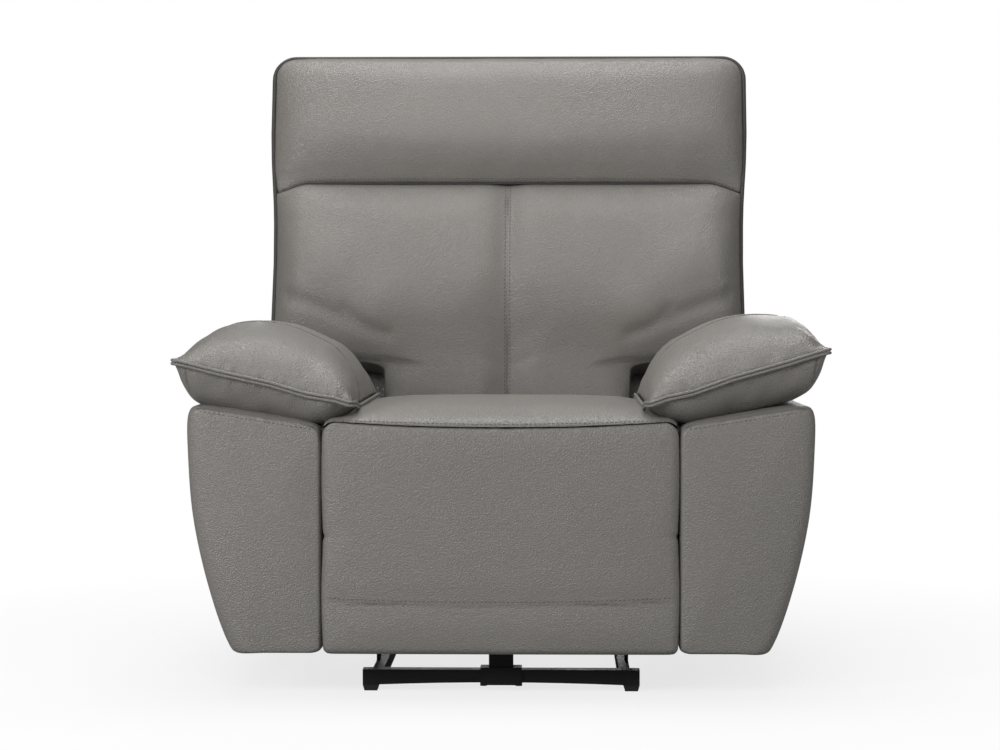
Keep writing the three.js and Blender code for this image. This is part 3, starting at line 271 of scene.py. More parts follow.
def grey_leather(name, color=(0.245, 0.231, 0.214), depth=0.0009, rough=0.35):
    """Warm grey top grain leather: pebbled, satin, and darker between its pebbles, with painted shade in its creases
    where a piece marks them.
    """
    pebbles = 400
    material, shader, node, link = paint(name)
    shader.inputs["Specular IOR Level"].default_value = 0.55
    shader.inputs["Sheen Weight"].default_value = 0.05
    shader.inputs["Sheen Roughness"].default_value = 0.4
    place = node("ShaderNodeAttribute", attribute_name="hide").outputs["Vector"]
    # Painted shade: the colour darkens by up to half where a piece's crease mark is set, along its seams and folds and
    # on hidden faces.
    fold = node("ShaderNodeAttribute", attribute_name="painted_crease_shade").outputs["Fac"]
    wobble = node("ShaderNodeTexNoise", Vector=place, Scale=180.0, Detail=2.0)
    shift = node("ShaderNodeMix", data_type="RGBA", blend_type="LINEAR_LIGHT")
    shift.inputs[0].default_value = 0.0016
    link(place, shift.inputs[6])
    link(wobble.outputs["Color"], shift.inputs[7])
    spot = shift.outputs[2]
    cells = node("ShaderNodeTexVoronoi", feature="SMOOTH_F1", Vector=spot, Scale=pebbles, Smoothness=0.35)
    lines = node("ShaderNodeTexVoronoi", feature="DISTANCE_TO_EDGE", Vector=spot, Scale=pebbles * 0.22)
    grain = node("ShaderNodeMix", data_type="FLOAT")
    grain.inputs[0].default_value = 0.14
    link(spanned(node, cells.outputs["Distance"], 1.0, 0.0, 0.0, 0.7), grain.inputs[2])
    link(spanned(node, lines.outputs["Distance"], 0.0, 1.0, 0.0, 0.12), grain.inputs[3])
    bump = node("ShaderNodeBump", Strength=1.0, Distance=depth, Height=grain.outputs[0])
    soft = node("ShaderNodeTexNoise", Vector=place, Scale=26.0, Detail=3.0, Roughness=0.55)
    pull = node("ShaderNodeBump", Strength=0.12, Distance=0.004, Height=soft.outputs["Fac"],
                Normal=bump.outputs["Normal"])
    link(pull.outputs["Normal"], shader.inputs["Normal"])
    shade = mottle(node, place, 5, 0.93, 1.07)
    for other in (spanned(node, grain.outputs[0], 0.90, 1.03), spanned(node, fold, 1.0, 0.5)):
        product = node("ShaderNodeMath", operation="MULTIPLY")
        link(shade, product.inputs[0])
        link(other, product.inputs[1])
        shade = product.outputs[0]
    link(tinted(node, link, color, shade), shader.inputs["Base Color"])
    link(mottle(node, place, 70, rough - 0.06, rough + 0.08), shader.inputs["Roughness"])
    return material


cover_leather = grey_leather("grey_leather")
thread_finish = grainy("grey_thread", (0.10, 0.095, 0.088), 0.7, 0.0, 2500, 0.0002)


def along_curve(points, count):
    """A smooth line through points, with as many evenly spaced points as asked for."""
    knots = [Vector(p) for p in points]
    knots = [knots[0] * 2 - knots[1]] + knots + [knots[-1] * 2 - knots[-2]]
    fine = []
    for a, b, c, d in zip(knots, knots[1:], knots[2:], knots[3:]):
        for step in range(12):
            t = step / 12
            fine.append(0.5 * ((2 * b) + (c - a) * t + (2 * a - 5 * b + 4 * c - d) * t * t
                               + (3 * b - a - 3 * c + d) * t ** 3))
    fine.append(knots[-2])
    lengths = np.concatenate([[0], np.cumsum([(q - p).length for p, q in zip(fine, fine[1:])])])
    flat = np.array(fine)
    wanted = np.linspace(0, lengths[-1], count)
    return [Vector(p) for p in np.stack([np.interp(wanted, lengths, column) for column in flat.T], 1)]


def flat_curve(points, count):
    """A smooth line through places that are given by two measures each."""
    return along_curve([Vector((*p, 0)) for p in points], count)


def eased(value, low, high):
    """0 up to low and 1 from high on, with a soft step between them."""
    t = min(1.0, max(0.0, (value - low) / (high - low)))
    return t * t * (3 - 2 * t)


def plain_piece(name, points, faces):
    """A piece made straight from its points and faces."""
    mesh = bpy.data.meshes.new(name)
    mesh.from_pydata([tuple(p) for p in points], [], faces)
    piece = bpy.data.objects.new(name, mesh)
    scene.collection.objects.link(piece)
    return piece


def closed_form(name, points, faces, join=1e-5):
    """A piece from points and faces, with doubled points joined and its faces turned outward."""
    piece = plain_piece(name, points, faces)
    shape = bmesh.new()
    shape.from_mesh(piece.data)
    if join:
        bmesh.ops.remove_doubles(shape, verts=shape.verts, dist=join)
    bmesh.ops.recalc_face_normals(shape, faces=shape.faces)
    shape.to_mesh(piece.data)
    shape.free()
    return piece


def slab(name, front, rear, rows):
    """A closed cover from two sheets of points, with walls of so many rows between their edges."""
    front, rear = np.array(front), np.array(rear)
    high, wide = front.shape[:2]
    index, points, faces = {}, [], []

    def spot(s, i, k):
        if (s, i, k) not in index:
            index[s, i, k] = len(points)
            points.append(front[s, i] + (rear[s, i] - front[s, i]) * k / rows)
        return index[s, i, k]

    for s in range(high - 1):
        for i in range(wide - 1):
            faces += [[spot(s, i, k), spot(s, i + 1, k), spot(s + 1, i + 1, k), spot(s + 1, i, k)] for k in (0, rows)]
    for k in range(rows):
        for i in range(wide - 1):
            faces += [[spot(s, i, k), spot(s, i + 1, k), spot(s, i + 1, k + 1), spot(s, i, k + 1)]
                      for s in (0, high - 1)]
        for s in range(high - 1):
            faces += [[spot(s, i, k), spot(s + 1, i, k), spot(s + 1, i, k + 1), spot(s, i, k + 1)]
                      for i in (0, wide - 1)]
    return closed_form(name, points, faces)


def lofted(name, rings, dome=0.0):
    """A closed form through rings of points, whose ends close in smaller and smaller rings."""
    shares = (0.93, 0.85, 0.76, 0.66, 0.56, 0.46, 0.36, 0.26, 0.16, 0.06)
    middles = [sum(ring, Vector()) / len(ring) for ring in (rings[0], rings[-1])]
    ways = [(middles[0] - middles[1]).normalized(), (middles[1] - middles[0]).normalized()]
    ends = [[[middle + (p - middle) * share + way * dome * (1 - share ** 2) for p in ring] for share in shares]
            for ring, middle, way in zip((rings[0], rings[-1]), middles, ways)]
    rings = ends[0][::-1] + rings + ends[1]
    count = len(rings[0])
    points = [p for ring in rings for p in ring]
    faces = [(r * count + i, r * count + (i + 1) % count, (r + 1) * count + (i + 1) % count, (r + 1) * count + i)
             for r in range(len(rings) - 1) for i in range(count)]
    faces += [tuple(range(count)), tuple(len(points) - count + i for i in reversed(range(count)))]
    return closed_form(name, points, faces)


def bake_modifiers(piece):
    """Replaces a piece's mesh by what its modifiers make of it."""
    bpy.context.view_layer.update()
    made = bpy.data.meshes.new_from_object(piece.evaluated_get(bpy.context.evaluated_depsgraph_get()))
    piece.modifiers.clear()
    piece.data = made


def smoothed(piece):
    """Halves a cover's faces, rounds it off, and gives it the marks for the shade painted into its creases."""
    finer = piece.modifiers.new("finer", "SUBSURF")
    finer.levels = finer.render_levels = 1
    bake_modifiers(piece)
    piece.data.shade_smooth()
    piece.data.attributes.new("painted_crease_shade", "FLOAT", "POINT")


def places(piece, what="co"):
    """The place of each of a piece's points, or with "normal" the way out of the piece there."""
    flat = np.zeros(len(piece.data.vertices) * 3)
    piece.data.vertices.foreach_get(what, flat)
    return flat.reshape(-1, 3)


def put(piece, points):
    piece.data.vertices.foreach_set("co", points.ravel())
    piece.data.update()


def reach_of(points, lines):
    """For each point, how far the nearest of the lines is, and how far along that line."""
    samples = []
    for line in lines:
        run = 0.0
        for a, b in zip(line, line[1:]):
            steps = max(1, int((b - a).length / 0.002))
            samples += [(a.lerp(b, s / steps), run + (b - a).length * s / steps) for s in range(steps)]
            run += (b - a).length
        samples.append((line[-1], run))
    tree = kdtree.KDTree(len(samples))
    for i, (point, _) in enumerate(samples):
        tree.insert(point, i)
    tree.balance()
    found = [tree.find(p) for p in points]
    return np.array([f[2] for f in found]), np.array([samples[f[1]][1] for f in found])


def evened(piece, moves, rounds):
    """Evens moves out over neighbouring points, so that a stretched cover keeps no sharp fold."""
    ends = np.zeros(len(piece.data.edges) * 2, dtype=np.int32)
    piece.data.edges.foreach_get("vertices", ends)
    a, b = ends.reshape(-1, 2).T
    count = 1 + np.bincount(a, minlength=len(moves)) + np.bincount(b, minlength=len(moves))
    for _ in range(rounds):
        around = [np.bincount(a, move[b], len(move)) + np.bincount(b, move[a], len(move)) for move in moves.T]
        moves = (moves + np.stack(around, 1)) / count[:, None]
    return moves


def stuffed(piece, seams, held, cap, slack=0.0, calm=2):
    """Swells a leather cover over its filling. It is held along its seams and wherever held(x, y, z) says."""
    sewn_width, settling = 0.005, 20
    start = places(piece)
    near, _ = reach_of(start, seams)
    sewn = piece.vertex_groups.new(name="sewn")
    fixed = [i for i, p in enumerate(start) if near[i] < sewn_width or held(*p)]
    sewn.add(fixed, 1.0, "REPLACE")
    cloth = piece.modifiers.new("filling", "CLOTH")
    cloth.settings.quality = 3
    cloth.settings.mass = 0.3
    cloth.settings.use_pressure = True
    cloth.settings.uniform_pressure_force = 4.0
    cloth.settings.shrink_min = -slack
    cloth.settings.effector_weights.gravity = 0
    cloth.settings.vertex_group_mass = "sewn"
    cloth.collision_settings.use_collision = False
    cloth.point_cache.frame_start, cloth.point_cache.frame_end = 1, settling
    for step in range(1, settling + 1):
        scene.frame_set(step)
    bake_modifiers(piece)
    scene.frame_set(1)
    piece.vertex_groups.clear()
    moved = places(piece) - start
    length = np.linalg.norm(moved, axis=1, keepdims=True)
    put(piece, start + evened(piece, moved * np.minimum(1, cap / np.maximum(length, 1e-9)), calm))
    smoothed(piece)


def pressed(piece, lines, depth, width, painted_shade=1.0, pucker=0.0, pitch=0.03, spread=0.05, seed=0, slant=0.0,
            facing=None):
    """Draws the leather in along seams: a groove with painted shade at its foot, and puckers that die away from it."""
    points, normals = places(piece), places(piece, "normal")
    near, along = reach_of(points, lines)
    moved = -depth * np.exp(-((near / width) ** 2))
    if pucker:
        wave = [noise.noise(Vector(((a - d * slant) / pitch, d / spread * 0.6, seed * 7.3))) if d < spread else 0.0
                for a, d in zip(along, near)]
        fade = np.clip(1 - near / spread, 0, 1) ** 2 * (near < spread)
        moved += pucker * (-np.abs(np.array(wave)) * 2 + 0.3) * fade
    if facing:
        moved *= np.clip(normals @ np.array(facing) * 2 - 0.4, 0, 1)
    put(piece, points + normals * moved[:, None])
    # Painted shade: the mark that darkens the leather's colour is raised along the groove, as much as the given share.
    painted_crease_shade = np.zeros(len(points))
    piece.data.attributes["painted_crease_shade"].data.foreach_get("value", painted_crease_shade)
    shade = painted_shade * np.exp(-((near / (width * 0.75)) ** 2))
    piece.data.attributes["painted_crease_shade"].data.foreach_set("value", np.maximum(painted_crease_shade, shade))


def hide_marked(piece, material):
    """Keeps the cover's grain with the leather however the piece bends, and gives it its leather."""
    mark = piece.data.attributes.new("hide", "FLOAT_VECTOR", "POINT")
    mark.data.foreach_set("vector", places(piece).ravel())
    piece.data.materials.clear()
    piece.data.materials.append(material)


def laid_on(line, piece, step, lift=0.0):
    """Evenly spaced points of a line, brought onto a piece's surface, each with the way out of it."""
    tree = bvhtree.BVHTree.FromObject(piece, bpy.context.evaluated_depsgraph_get())
    total = sum((b - a).length for a, b in zip(line, line[1:]))
    found = []
    for point in along_curve(line, max(3, int(total / step) + 1)):
        hit, normal, _, _ = tree.find_nearest(point)
        found.append((hit + normal * lift, normal))
    return found


def tube_faces(first, rings, sides):
    """The faces of a closed tube whose rings of points follow each other from the first point on."""
    faces = []
    for low in range(first, first + (rings - 1) * sides, sides):
        for s in range(sides):
            t = (s + 1) % sides
            faces.append((low + s, low + t, low + sides + t, low + sides + s))
    last = first + (rings - 1) * sides
    return faces + [tuple(first + s for s in reversed(range(sides))), tuple(last + s for s in range(sides))]


def topstitch(name, lines, piece, thick=0.0011):
    """Rows of stitches in grey thread, each a short spindle that dips into the leather at both ends."""
    pitch, share, sides = 0.0072, 0.74, 5
    profile = ((0.0, 0.15, -0.0006), (0.22, 1.0, 0.0001), (0.78, 1.0, 0.0001), (1.0, 0.15, -0.0006))
    points, faces = [], []
    for line in lines:
        spots = laid_on(line, piece, pitch)
        for (a, up), (b, _) in zip(spots, spots[1:]):
            run = (b - a) * share
            if run.length < 1e-5:
                continue
            aside = run.cross(up).normalized()
            faces += tube_faces(len(points), len(profile), sides)
            for along, wide, rise in profile:
                middle = a + run * along + up * rise
                for s in range(sides):
                    turn = 2 * math.pi * s / sides
                    points.append(middle + (aside * math.cos(turn) + up * math.sin(turn)) * thick * 0.5 * wide)
    row = plain_piece(name, points, faces)
    row.data.shade_smooth()
    row.data.materials.append(thread_finish)
    return row


seat_half = 0.2855
seat_lip = 0.0022
seat_underside = 0.4305


def arch_seam_height(x):
    """The front seam is lowest in the middle of the seat and rises to both sides."""
    return 0.4380 + 0.0095 * min(1, abs(x) / 0.27) ** 2.2 - 0.009 * max(0, (abs(x) - 0.268) / 0.0185) ** 2


def seat_top(x, y):
    """Height of the seat's crowned top, before its cover swells."""
    side = min(1, abs(x) / seat_half)
    front = min(1, (y - front_face) / 0.17)
    rear = max(0, (y - front_face - 0.25) / 0.30)
    crown = (1 - (1 - front) ** 2.0) * (1 - min(1, rear) ** 3.5)
    return 0.4505 + 0.0165 * (1 - side ** 4) * crown + 0.003 * (1 - side ** 8) - 0.006 * side ** 24


def across_shares(middle_count):
    """Places across a cover from -1 to 1, closer together at both edges."""
    edge = [-1, -0.994, -0.984, -0.970]
    return edge + list(np.linspace(-0.955, 0.955, middle_count)) + [-share for share in reversed(edge)]


def seat_cover():
    """The upper sheet runs from the arched seam over the front edge to the rear, the lower one under it."""
    upper, lower = [], []
    for u in across_shares(71):
        x = u * seat_half
        seam = arch_seam_height(x)
        draw = 0.012 * (abs(x) / seat_half) ** 26
        crest = max(seat_top(x, front_face + 0.040), seam + 0.006)
        climb = crest - seam
        roof = min(0.4525, crest - 0.007)
        over = [(seat_lip + draw, seam), (seat_lip + 0.0014 + draw, seam + climb * 0.26),
                (0.0105 + draw * 0.8, seam + climb * 0.54), (0.022 + draw * 0.5, seam + climb * 0.80), (0.040, crest)]
        over += [(y, seat_top(x, front_face + y)) for y in (0.07, 0.11, 0.16, 0.22, 0.29, 0.36, 0.43, 0.49)]
        over += [(0.535, 0.452), (0.552, 0.436)]
        under = [(seat_lip + draw + 0.0008, seam - 0.0006), (0.012 + draw, max(seam + 0.0015, roof - 0.004)),
                 (0.024, roof), (0.038, roof - 0.001), (0.052, min(roof, 0.441)), (0.066, 0.4325)]
        under += [(y, seat_underside) for y in (0.09, 0.30, 0.546)]
        for sheet, line in ((upper, over), (lower, under)):
            sheet.append([Vector((x, front_face + p.x, p.y)) for p in flat_curve(line, 76)])
    return slab("seat_leather", upper, lower, 2)


seat_leather = seat_cover()
seat_seam = [Vector((x, front_face + seat_lip, arch_seam_height(x))) for x in np.linspace(-0.2845, 0.2845, 80)]


def seat_held(x, y, z):
    """Held on the underside, under the front lip and at both sides."""
    depth = y - front_face
    under_lip = 0.010 < depth < 0.045 and z < min(0.4525, seat_top(x, front_face + 0.040) - 0.004)
    return z < 0.437 or under_lip or abs(x) > 0.285


stuffed(seat_leather, [seat_seam], seat_held, cap=0.006, slack=0.006, calm=8)
pressed(seat_leather, [seat_seam], 0.0012, 0.0030, pucker=0.0010, pitch=0.035, spread=0.045, seed=1)
hide_marked(seat_leather, cover_leather)
seat_stitch_line = [Vector((p.x, p.y + 0.001, p.z + 0.0062)) for p in seat_seam[1:-1]]
seat_stitches = topstitch("seat_topstitch", [seat_stitch_line], seat_leather)
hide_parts("seat_cushion")
for piece in (seat_leather, seat_stitches):
    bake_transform(piece)

# The foam under the seat cover. A block of grey polyurethane foam, cut to size with its corners taken off,
# that lies loose on the springs inside the cover.
foam_finish = grainy("seat_foam", (0.42, 0.42, 0.40), 0.9, 0.0, 260, 0.0012)


def seat_foam_block():
    low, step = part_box("seat_cushion")[0].z, 0.012
    rings = []
    for z, pull in ((low, 0.006), (low + 0.006, 0.0), (0.385, 0.002), (0.424, 0.0), (0.4295, 0.006)):
        front, rear, half = front_face + 0.072 + pull, front_face + 0.53 - pull, 0.278 - pull
        ring = [(-half, front + step), (-half + step, front), (half - step, front), (half, front + step),
                (half, rear - step), (half - step, rear), (-half + step, rear), (-half, rear - step)]
        rings.append([Vector((x, y, z)) for x, y in ring])
    foam = lofted("seat_foam", rings)
    bevel = foam.modifiers.new("cut_edges", "BEVEL")
    bevel.width, bevel.segments = 0.002, 2
    bake_modifiers(foam)
    foam.data.materials.append(foam_finish)
    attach(foam, "seat")


seat_foam_block()

# The front cover. One leather face over the flap and the footrest, which are hinged to each other behind
# it. It has a notch at both sides where they meet, and a seam across near the bottom.
front_half = 0.2875
front_foot = 0.070
front_notch = 0.261


def front_cover():
    heights = [(z, 0) for z in (front_foot, 0.0708, 0.0730, 0.0770, 0.083)]
    heights += [(z, 0) for z in np.linspace(0.090, 0.246, 21)]
    heights += [(z, 0) for z in (0.2525, 0.2565, front_notch, 0.2655, 0.2695)]
    heights += [(z, 0) for z in np.linspace(0.277, 0.400, 17)]
    heights += [(0, d) for d in (0.030, 0.022, 0.015, 0.010, 0.006, 0.003, 0.0008)]
    edge = [0.957, 0.970, 0.982, 0.991, 0.9975, 1]
    shares = [-u for u in reversed(edge)] + list(np.linspace(-0.94, 0.94, 66)) + edge
    front, rear = [], []
    for fixed_height, below in heights:
        near, far = [], []
        for u in shares:
            z = fixed_height or arch_seam_height(u * front_half) - below
            foot = max(0.0, 1 - (z - front_foot) / 0.009)
            head = max(0.0, 1 - below / 0.013) if not fixed_height else 0.0
            way_up = (z - front_foot) / (front_notch - front_foot) if z < front_notch else (z - front_notch) / 0.183
            half = front_half + 0.003 * math.sin(math.pi * min(1, max(0, way_up))) - 0.006 * foot ** 2
            half -= 0.003 * math.exp(-(((z - front_notch) / 0.004) ** 2))
            half -= 0.007 * (1 - math.sqrt(1 - head ** 2)) if head < 1 else 0.007
            turn = max(0.0, (abs(u) - 0.952) / 0.048)
            y = 0.0032 - 0.0022 * (1 - u ** 4) + 0.012 * (1 - math.sqrt(max(0, 1 - turn ** 2)))
            y += 0.008 * foot ** 2 + 0.0015 * head ** 2
            near.append((u * half, front_face + y, z))
            far.append((u * half, front_face + 0.0345 - 0.003 * foot - 0.004 * head, z))
        front.append(near)
        rear.append(far)
    return slab("front_leather", front, rear, 2)


front_leather = front_cover()
lower_seam = [Vector((x, front_face, 0.1500 + 0.0065 * (abs(x + 0.02) / 0.28) ** 2.4))
              for x in np.linspace(-0.287, 0.287, 60)]


def front_held(x, y, z):
    return y > front_face + 0.012 or z > 0.435 or z < 0.076


stuffed(front_leather, [lower_seam, seat_seam], front_held, cap=0.0035, slack=0.004, calm=6)
pressed(front_leather, [lower_seam], 0.0013, 0.0021, pucker=0.0006, pitch=0.05, spread=0.03, seed=2)
pressed(front_leather, [seat_seam], 0.0004, 0.0035, pucker=0.0008, pitch=0.035, spread=0.04, seed=4)
hide_marked(front_leather, cover_leather)
front_row = [Vector((p.x, p.y, p.z + 0.0065)) for p in lower_seam[1:-1]]
front_stitches = topstitch("front_topstitch", [front_row], front_leather)
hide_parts("flap_pad", "footrest_pad")
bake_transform(front_leather)
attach(front_stitches, "footrest")

# The arms. Each is a timber box under foam and leather, straight inside and bowed outside, with a seam
# and a row of topstitch along its front top edge.
arm_low, arm_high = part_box("arm_body_left")
arm_front, arm_rear = arm_low.y, arm_high.y
arm_inner = 0.2895
arm_foot = 0.0700


def arm_outer(z):
    fall = max(0.0, (0.433 - z) / 0.360)
    rise = max(0.0, (z - 0.440) / 0.04)
    return 0.5115 - 0.073 * fall ** 1.9 - 0.003 * rise ** 2


def arm_top(x):
    return 0.4425 + (x - 0.288) * 0.1585


def arm_section(inset):
    """The outline across an arm, seen from the front, for the arm at +X; inset draws it in at the ends."""
    inner, low, top_in = arm_inner + inset * 0.4, arm_foot + inset * 0.3, inset * 0.4
    line = [(inner + 0.014, low), (inner + 0.004, low + 0.004), (inner, low + 0.016), (inner, 0.20), (inner, 0.32),
            (inner, arm_top(inner) - 0.020 - top_in), (inner + 0.004, arm_top(inner) - 0.005 - top_in)]
    line += [(x, arm_top(x) - top_in) for x in (0.312, 0.36, 0.41, 0.455, 0.482)]
    line += [(0.500 - inset, arm_top(0.500) - 0.002 - inset * 0.5), (0.5085 - inset * 1.4, 0.463 - inset * 0.5)]
    line += [(arm_outer(z) - inset * 1.5, z) for z in (0.440, 0.40, 0.35, 0.30, 0.25, 0.20, 0.15, 0.11)]
    line += [(arm_outer(0.088) - 0.002 - inset * 1.4, 0.086 + inset * 0.3),
             (arm_outer(0.08) - 0.012 - inset * 1.2, low), (0.38, low)]
    return flat_curve(line + line[:1], 131)[:-1]


def arm_cover(word, side):
    length, radius = arm_rear - arm_front, 0.018
    edge = [(y, radius - math.sqrt(radius ** 2 - (radius - y) ** 2))
            for y in (0.0004, 0.0018, 0.0045, 0.0085, 0.013, radius)]
    steps = edge + [(y, 0.0) for y in np.linspace(0.030, length - 0.030, 46)]
    steps += [(length - y, inset) for y, inset in reversed(edge)]
    rings = [[Vector((side * p.x, arm_front + y, p.y)) for p in arm_section(inset)] for y, inset in steps]
    return lofted(f"arm_leather_{word}", rings, dome=0.007)


def mirrored(name, piece):
    """A copy of a piece for the other side of the chair."""
    twin = bpy.data.objects.new(name, piece.data.copy())
    scene.collection.objects.link(twin)
    points = places(twin)
    points[:, 0] *= -1
    put(twin, points)
    twin.data.flip_normals()
    return twin


def arm_edge(side):
    return [Vector((side * x, arm_front + 0.004, arm_top(x) - 0.0055)) for x in np.linspace(0.296, 0.497, 24)]


def arm_held(x, y, z):
    """Held on the inner face, on the underside and at both ends."""
    return abs(x) < arm_inner + 0.002 or z < 0.078 or y > arm_rear - 0.004 or y < arm_front + 0.0003


left_arm = arm_cover("left", -1)
stuffed(left_arm, [arm_edge(-1)], arm_held, cap=0.005, calm=16)
right_arm = mirrored("arm_leather_right", left_arm)

for word, side, arm in (("left", -1, left_arm), ("right", 1, right_arm)):
    edge = arm_edge(side)
    pressed(arm, [edge], 0.0012, 0.003, pucker=0.0014, pitch=0.028, spread=0.06, seed=3 + side)
    hide_marked(arm, cover_leather)
    stitch_row = [Vector((p.x, p.y - 0.003, p.z - 0.0050)) for p in edge[1:-1]]
    stitches = topstitch(f"arm_topstitch_{word}", [stitch_row], arm)
    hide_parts(f"arm_body_{word}")
    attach(arm, "seat")
    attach(stitches, "seat")

# The arm pads. Each is a pillow of foam and fibre: a full upper panel sewn to a lower band with a double
# lipped welt that runs along both sides and across the front.


def roll(name, line, radius, material):
    """A round roll of leather along a line, drawn in and closed at both ends."""
    count, sides = len(line), 10
    points = []
    for i, p in enumerate(line):
        run = (line[min(i + 1, count - 1)] - line[max(i - 1, 0)]).normalized()
        aside = run.cross(Vector((0, 0, 1))).normalized()
        up = aside.cross(run).normalized()
        end = 0.35 if i in (0, count - 1) else 1.0
        for s in range(sides):
            turn = 2 * math.pi * s / sides
            points.append(p + (aside * math.cos(turn) * radius + up * math.sin(turn) * radius) * end)
    piece = closed_form(name, points, tube_faces(0, count, sides), join=0)
    piece.data.shade_smooth()
    piece.data.attributes.new("painted_crease_shade", "FLOAT", "POINT")
    hide_marked(piece, material)
    return piece


pad_outer = 0.526
pad_inner = 0.2405
pad_length = 0.570
pad_crest = 0.205
welt_line = ((0.2415, 0.4760), (0.267, 0.4835), (0.311, 0.4905), (0.372, 0.5085), (0.454, 0.5265), (0.510, 0.5405),
             (pad_outer, 0.5435))
pad_over = ((pad_outer, 0), (0.5235, 0.012), (0.514, 0.028), (0.491, 0.048), (0.463, 0.063), (0.418, 0.080),
            (0.372, 0.087), (0.338, 0.087), (0.304, 0.082), (0.268, 0.070), (0.2465, 0.050), (0.2385, 0.025),
            (pad_inner, 0))
pad_under = ((pad_outer, 0), (0.5235, -0.018), (0.515, -0.041), (0.502, -0.0570), (0.480, -0.0585),
             (0.434, -0.0560), (0.382, -0.0530), (0.331, -0.0465), (0.290, -0.041), (0.262, -0.026),
             (0.246, -0.010), (pad_inner, 0))


def welt_height(x, raised, back=0.0):
    """The welt climbs outward across the front, and its inner run sinks a little behind the front corner."""
    inward = min(1.0, max(0.0, (pad_outer - x) / 0.2855))
    sunk = 0.010 * eased(back, 0.0, 0.13) * inward ** 2
    return float(np.interp(x, *zip(*welt_line))) + raised * (1 - inward) - sunk


def pad_cover(word, side):
    over, under = flat_curve(pad_over, 56), flat_curve(pad_under, 56)
    upper, lower = [], []
    stations = [0, 0.0015, 0.004, 0.0075, 0.012, 0.018, 0.026] + list(np.linspace(0.036, 0.534, 52))
    stations += [0.544, 0.552, 0.559, 0.564, 0.568, pad_length]
    for y in stations:
        front = min(1.0, y / pad_crest)
        rear = min(1.0, (pad_length - y) / 0.09)
        end = math.sqrt(max(0.0, 1 - (1 - rear) ** 2))
        rise = (1 - (1 - front) ** 2.3) ** 0.55 * (1 - 0.42 * eased(y, 0.34, pad_length)) * end
        band = (1 - (1 - min(1, y / 0.060)) ** 2.2) ** 0.60 * end
        for sheet, line, full in ((upper, over, rise), (lower, under, band)):
            sheet.append([Vector((side * p.x, front_face + y, welt_height(p.x, 0.0, y) + p.y * full)) for p in line])
    return slab(f"arm_pad_leather_{word}", upper, lower, 1)


def welt_runs(side, raised):
    """The welt's three runs: along the outer side, across the front and back along the inner side."""
    ahead, behind = front_face + 0.006, front_face + pad_length - 0.02
    outer = [Vector((side * pad_outer, y, welt_height(pad_outer, raised))) for y in np.linspace(behind, ahead, 40)]
    front = [Vector((side * x, front_face, welt_height(x, raised))) for x in np.linspace(0.524, 0.2425, 60)]
    inner = [Vector((side * pad_inner, y, welt_height(pad_inner, raised, y - front_face)))
             for y in np.linspace(ahead, behind, 40)]
    return outer, front, inner


left_pad = pad_cover("left", -1)
stuffed(left_pad, [sum(welt_runs(-1, 0.0), [])], lambda x, y, z: False, cap=0.009, slack=0.02)
right_pad = mirrored("arm_pad_leather_right", left_pad)
right_raise = 0.018
lifted = places(right_pad)
over_welt = np.clip((lifted[:, 2] - np.interp(lifted[:, 0], *zip(*welt_line))) / 0.02, 0, 1)
outer_end = np.exp(-((lifted[:, 0] - 0.490) / 0.030) ** 2)
lifted[:, 2] += right_raise * (lifted[:, 0] - 0.2415) / 0.2845 + 0.008 * over_welt * outer_end
put(right_pad, lifted)

for word, side, raised, pad in (("left", -1, 0.0, left_pad), ("right", 1, right_raise, right_pad)):
    runs = welt_runs(side, raised)
    welt_path = sum(runs, [])
    pressed(pad, [welt_path], 0.0025, 0.004, pucker=0.0028, pitch=0.022, spread=0.055, seed=8 + side)
    corner_x = 0.507
    corner = [Vector((side * (corner_x - inward), front_face + back, welt_height(corner_x, raised) - drop))
              for inward, back, drop in ((0, 0, 0), (0, 0.006, 0.022), (0.004, 0.022, 0.044))]
    pressed(pad, [[spot for spot, _ in laid_on(corner, pad, 0.004)]], 0.0014, 0.0022)
    hide_marked(pad, cover_leather)
    crest_line = [Vector((side * p.x, front_face + pad_crest, welt_height(p.x, raised, pad_crest) + p.y))
                  for p in flat_curve(pad_over[4:], 30)]
    crest_line = [spot for spot, _ in laid_on(crest_line, pad, 0.012, lift=0.0006)]
    crest = roll(f"arm_pad_seam_{word}", along_curve(crest_line, 90), 0.0014, cover_leather)
    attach(crest, "seat")
    ways = (Vector((side * 0.0035, 0, 0)), Vector((0, -0.0035, 0)), Vector((-side * 0.0060, 0, 0)))
    smooth = along_curve([p + way for run, way in zip(runs, ways) for p in run], 260)
    for lip, rise in (("upper", 0.0028), ("lower", -0.0028)):
        lip_run = [p + Vector((0, 0, rise)) for p in smooth]
        welt = roll(f"arm_pad_welt_{lip}_{word}", lip_run, 0.0026, cover_leather)
        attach(welt, "seat")
    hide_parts(f"arm_pad_{word}")
    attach(pad, "seat")

# The headrest. It is the upper panel of a back that leans 15 degrees on its own hinge: leather over foam on
# the timber frame, sewn to the lower cushion below it, with a rolled piping round its top and sides.
lean = Matrix.Translation((0, 0.15171, 0.262)) @ Matrix.Rotation(-math.radians(15), 4, "X")
unlean = lean.inverted()
back_seam_height = 0.598
back_wing_foot = 0.262
rim_low = 0.285
rim_depth = -0.056
cushion_rear = 0.0195


def in_back(x, t, h):
    """A place in the chair from one in the leaning back: across, through from the front, and up along it."""
    return lean @ Vector((x, t, h))


def rim_half(h):
    """Half the back's width at its piping: widest beside the headrest, drawn in below it."""
    heights = (0.25, 0.33, 0.45, 0.52, 0.56, 0.60, 0.64, 0.70, 0.85)
    halves = (0.4375, 0.4366, 0.4350, 0.4362, 0.4378, 0.4405, 0.4435, 0.4458, 0.4462)
    return float(np.interp(h, heights, halves))


def back_seam(x):
    """The seam under the headrest runs level and dips at both sides."""
    return back_seam_height - 0.014 * eased(abs(x), 0.375, 0.435)


def read_off(curve, place):
    """How high a flat curve stands at a place along it."""
    return float(np.interp(place, [p.x for p in curve], [p.y for p in curve]))


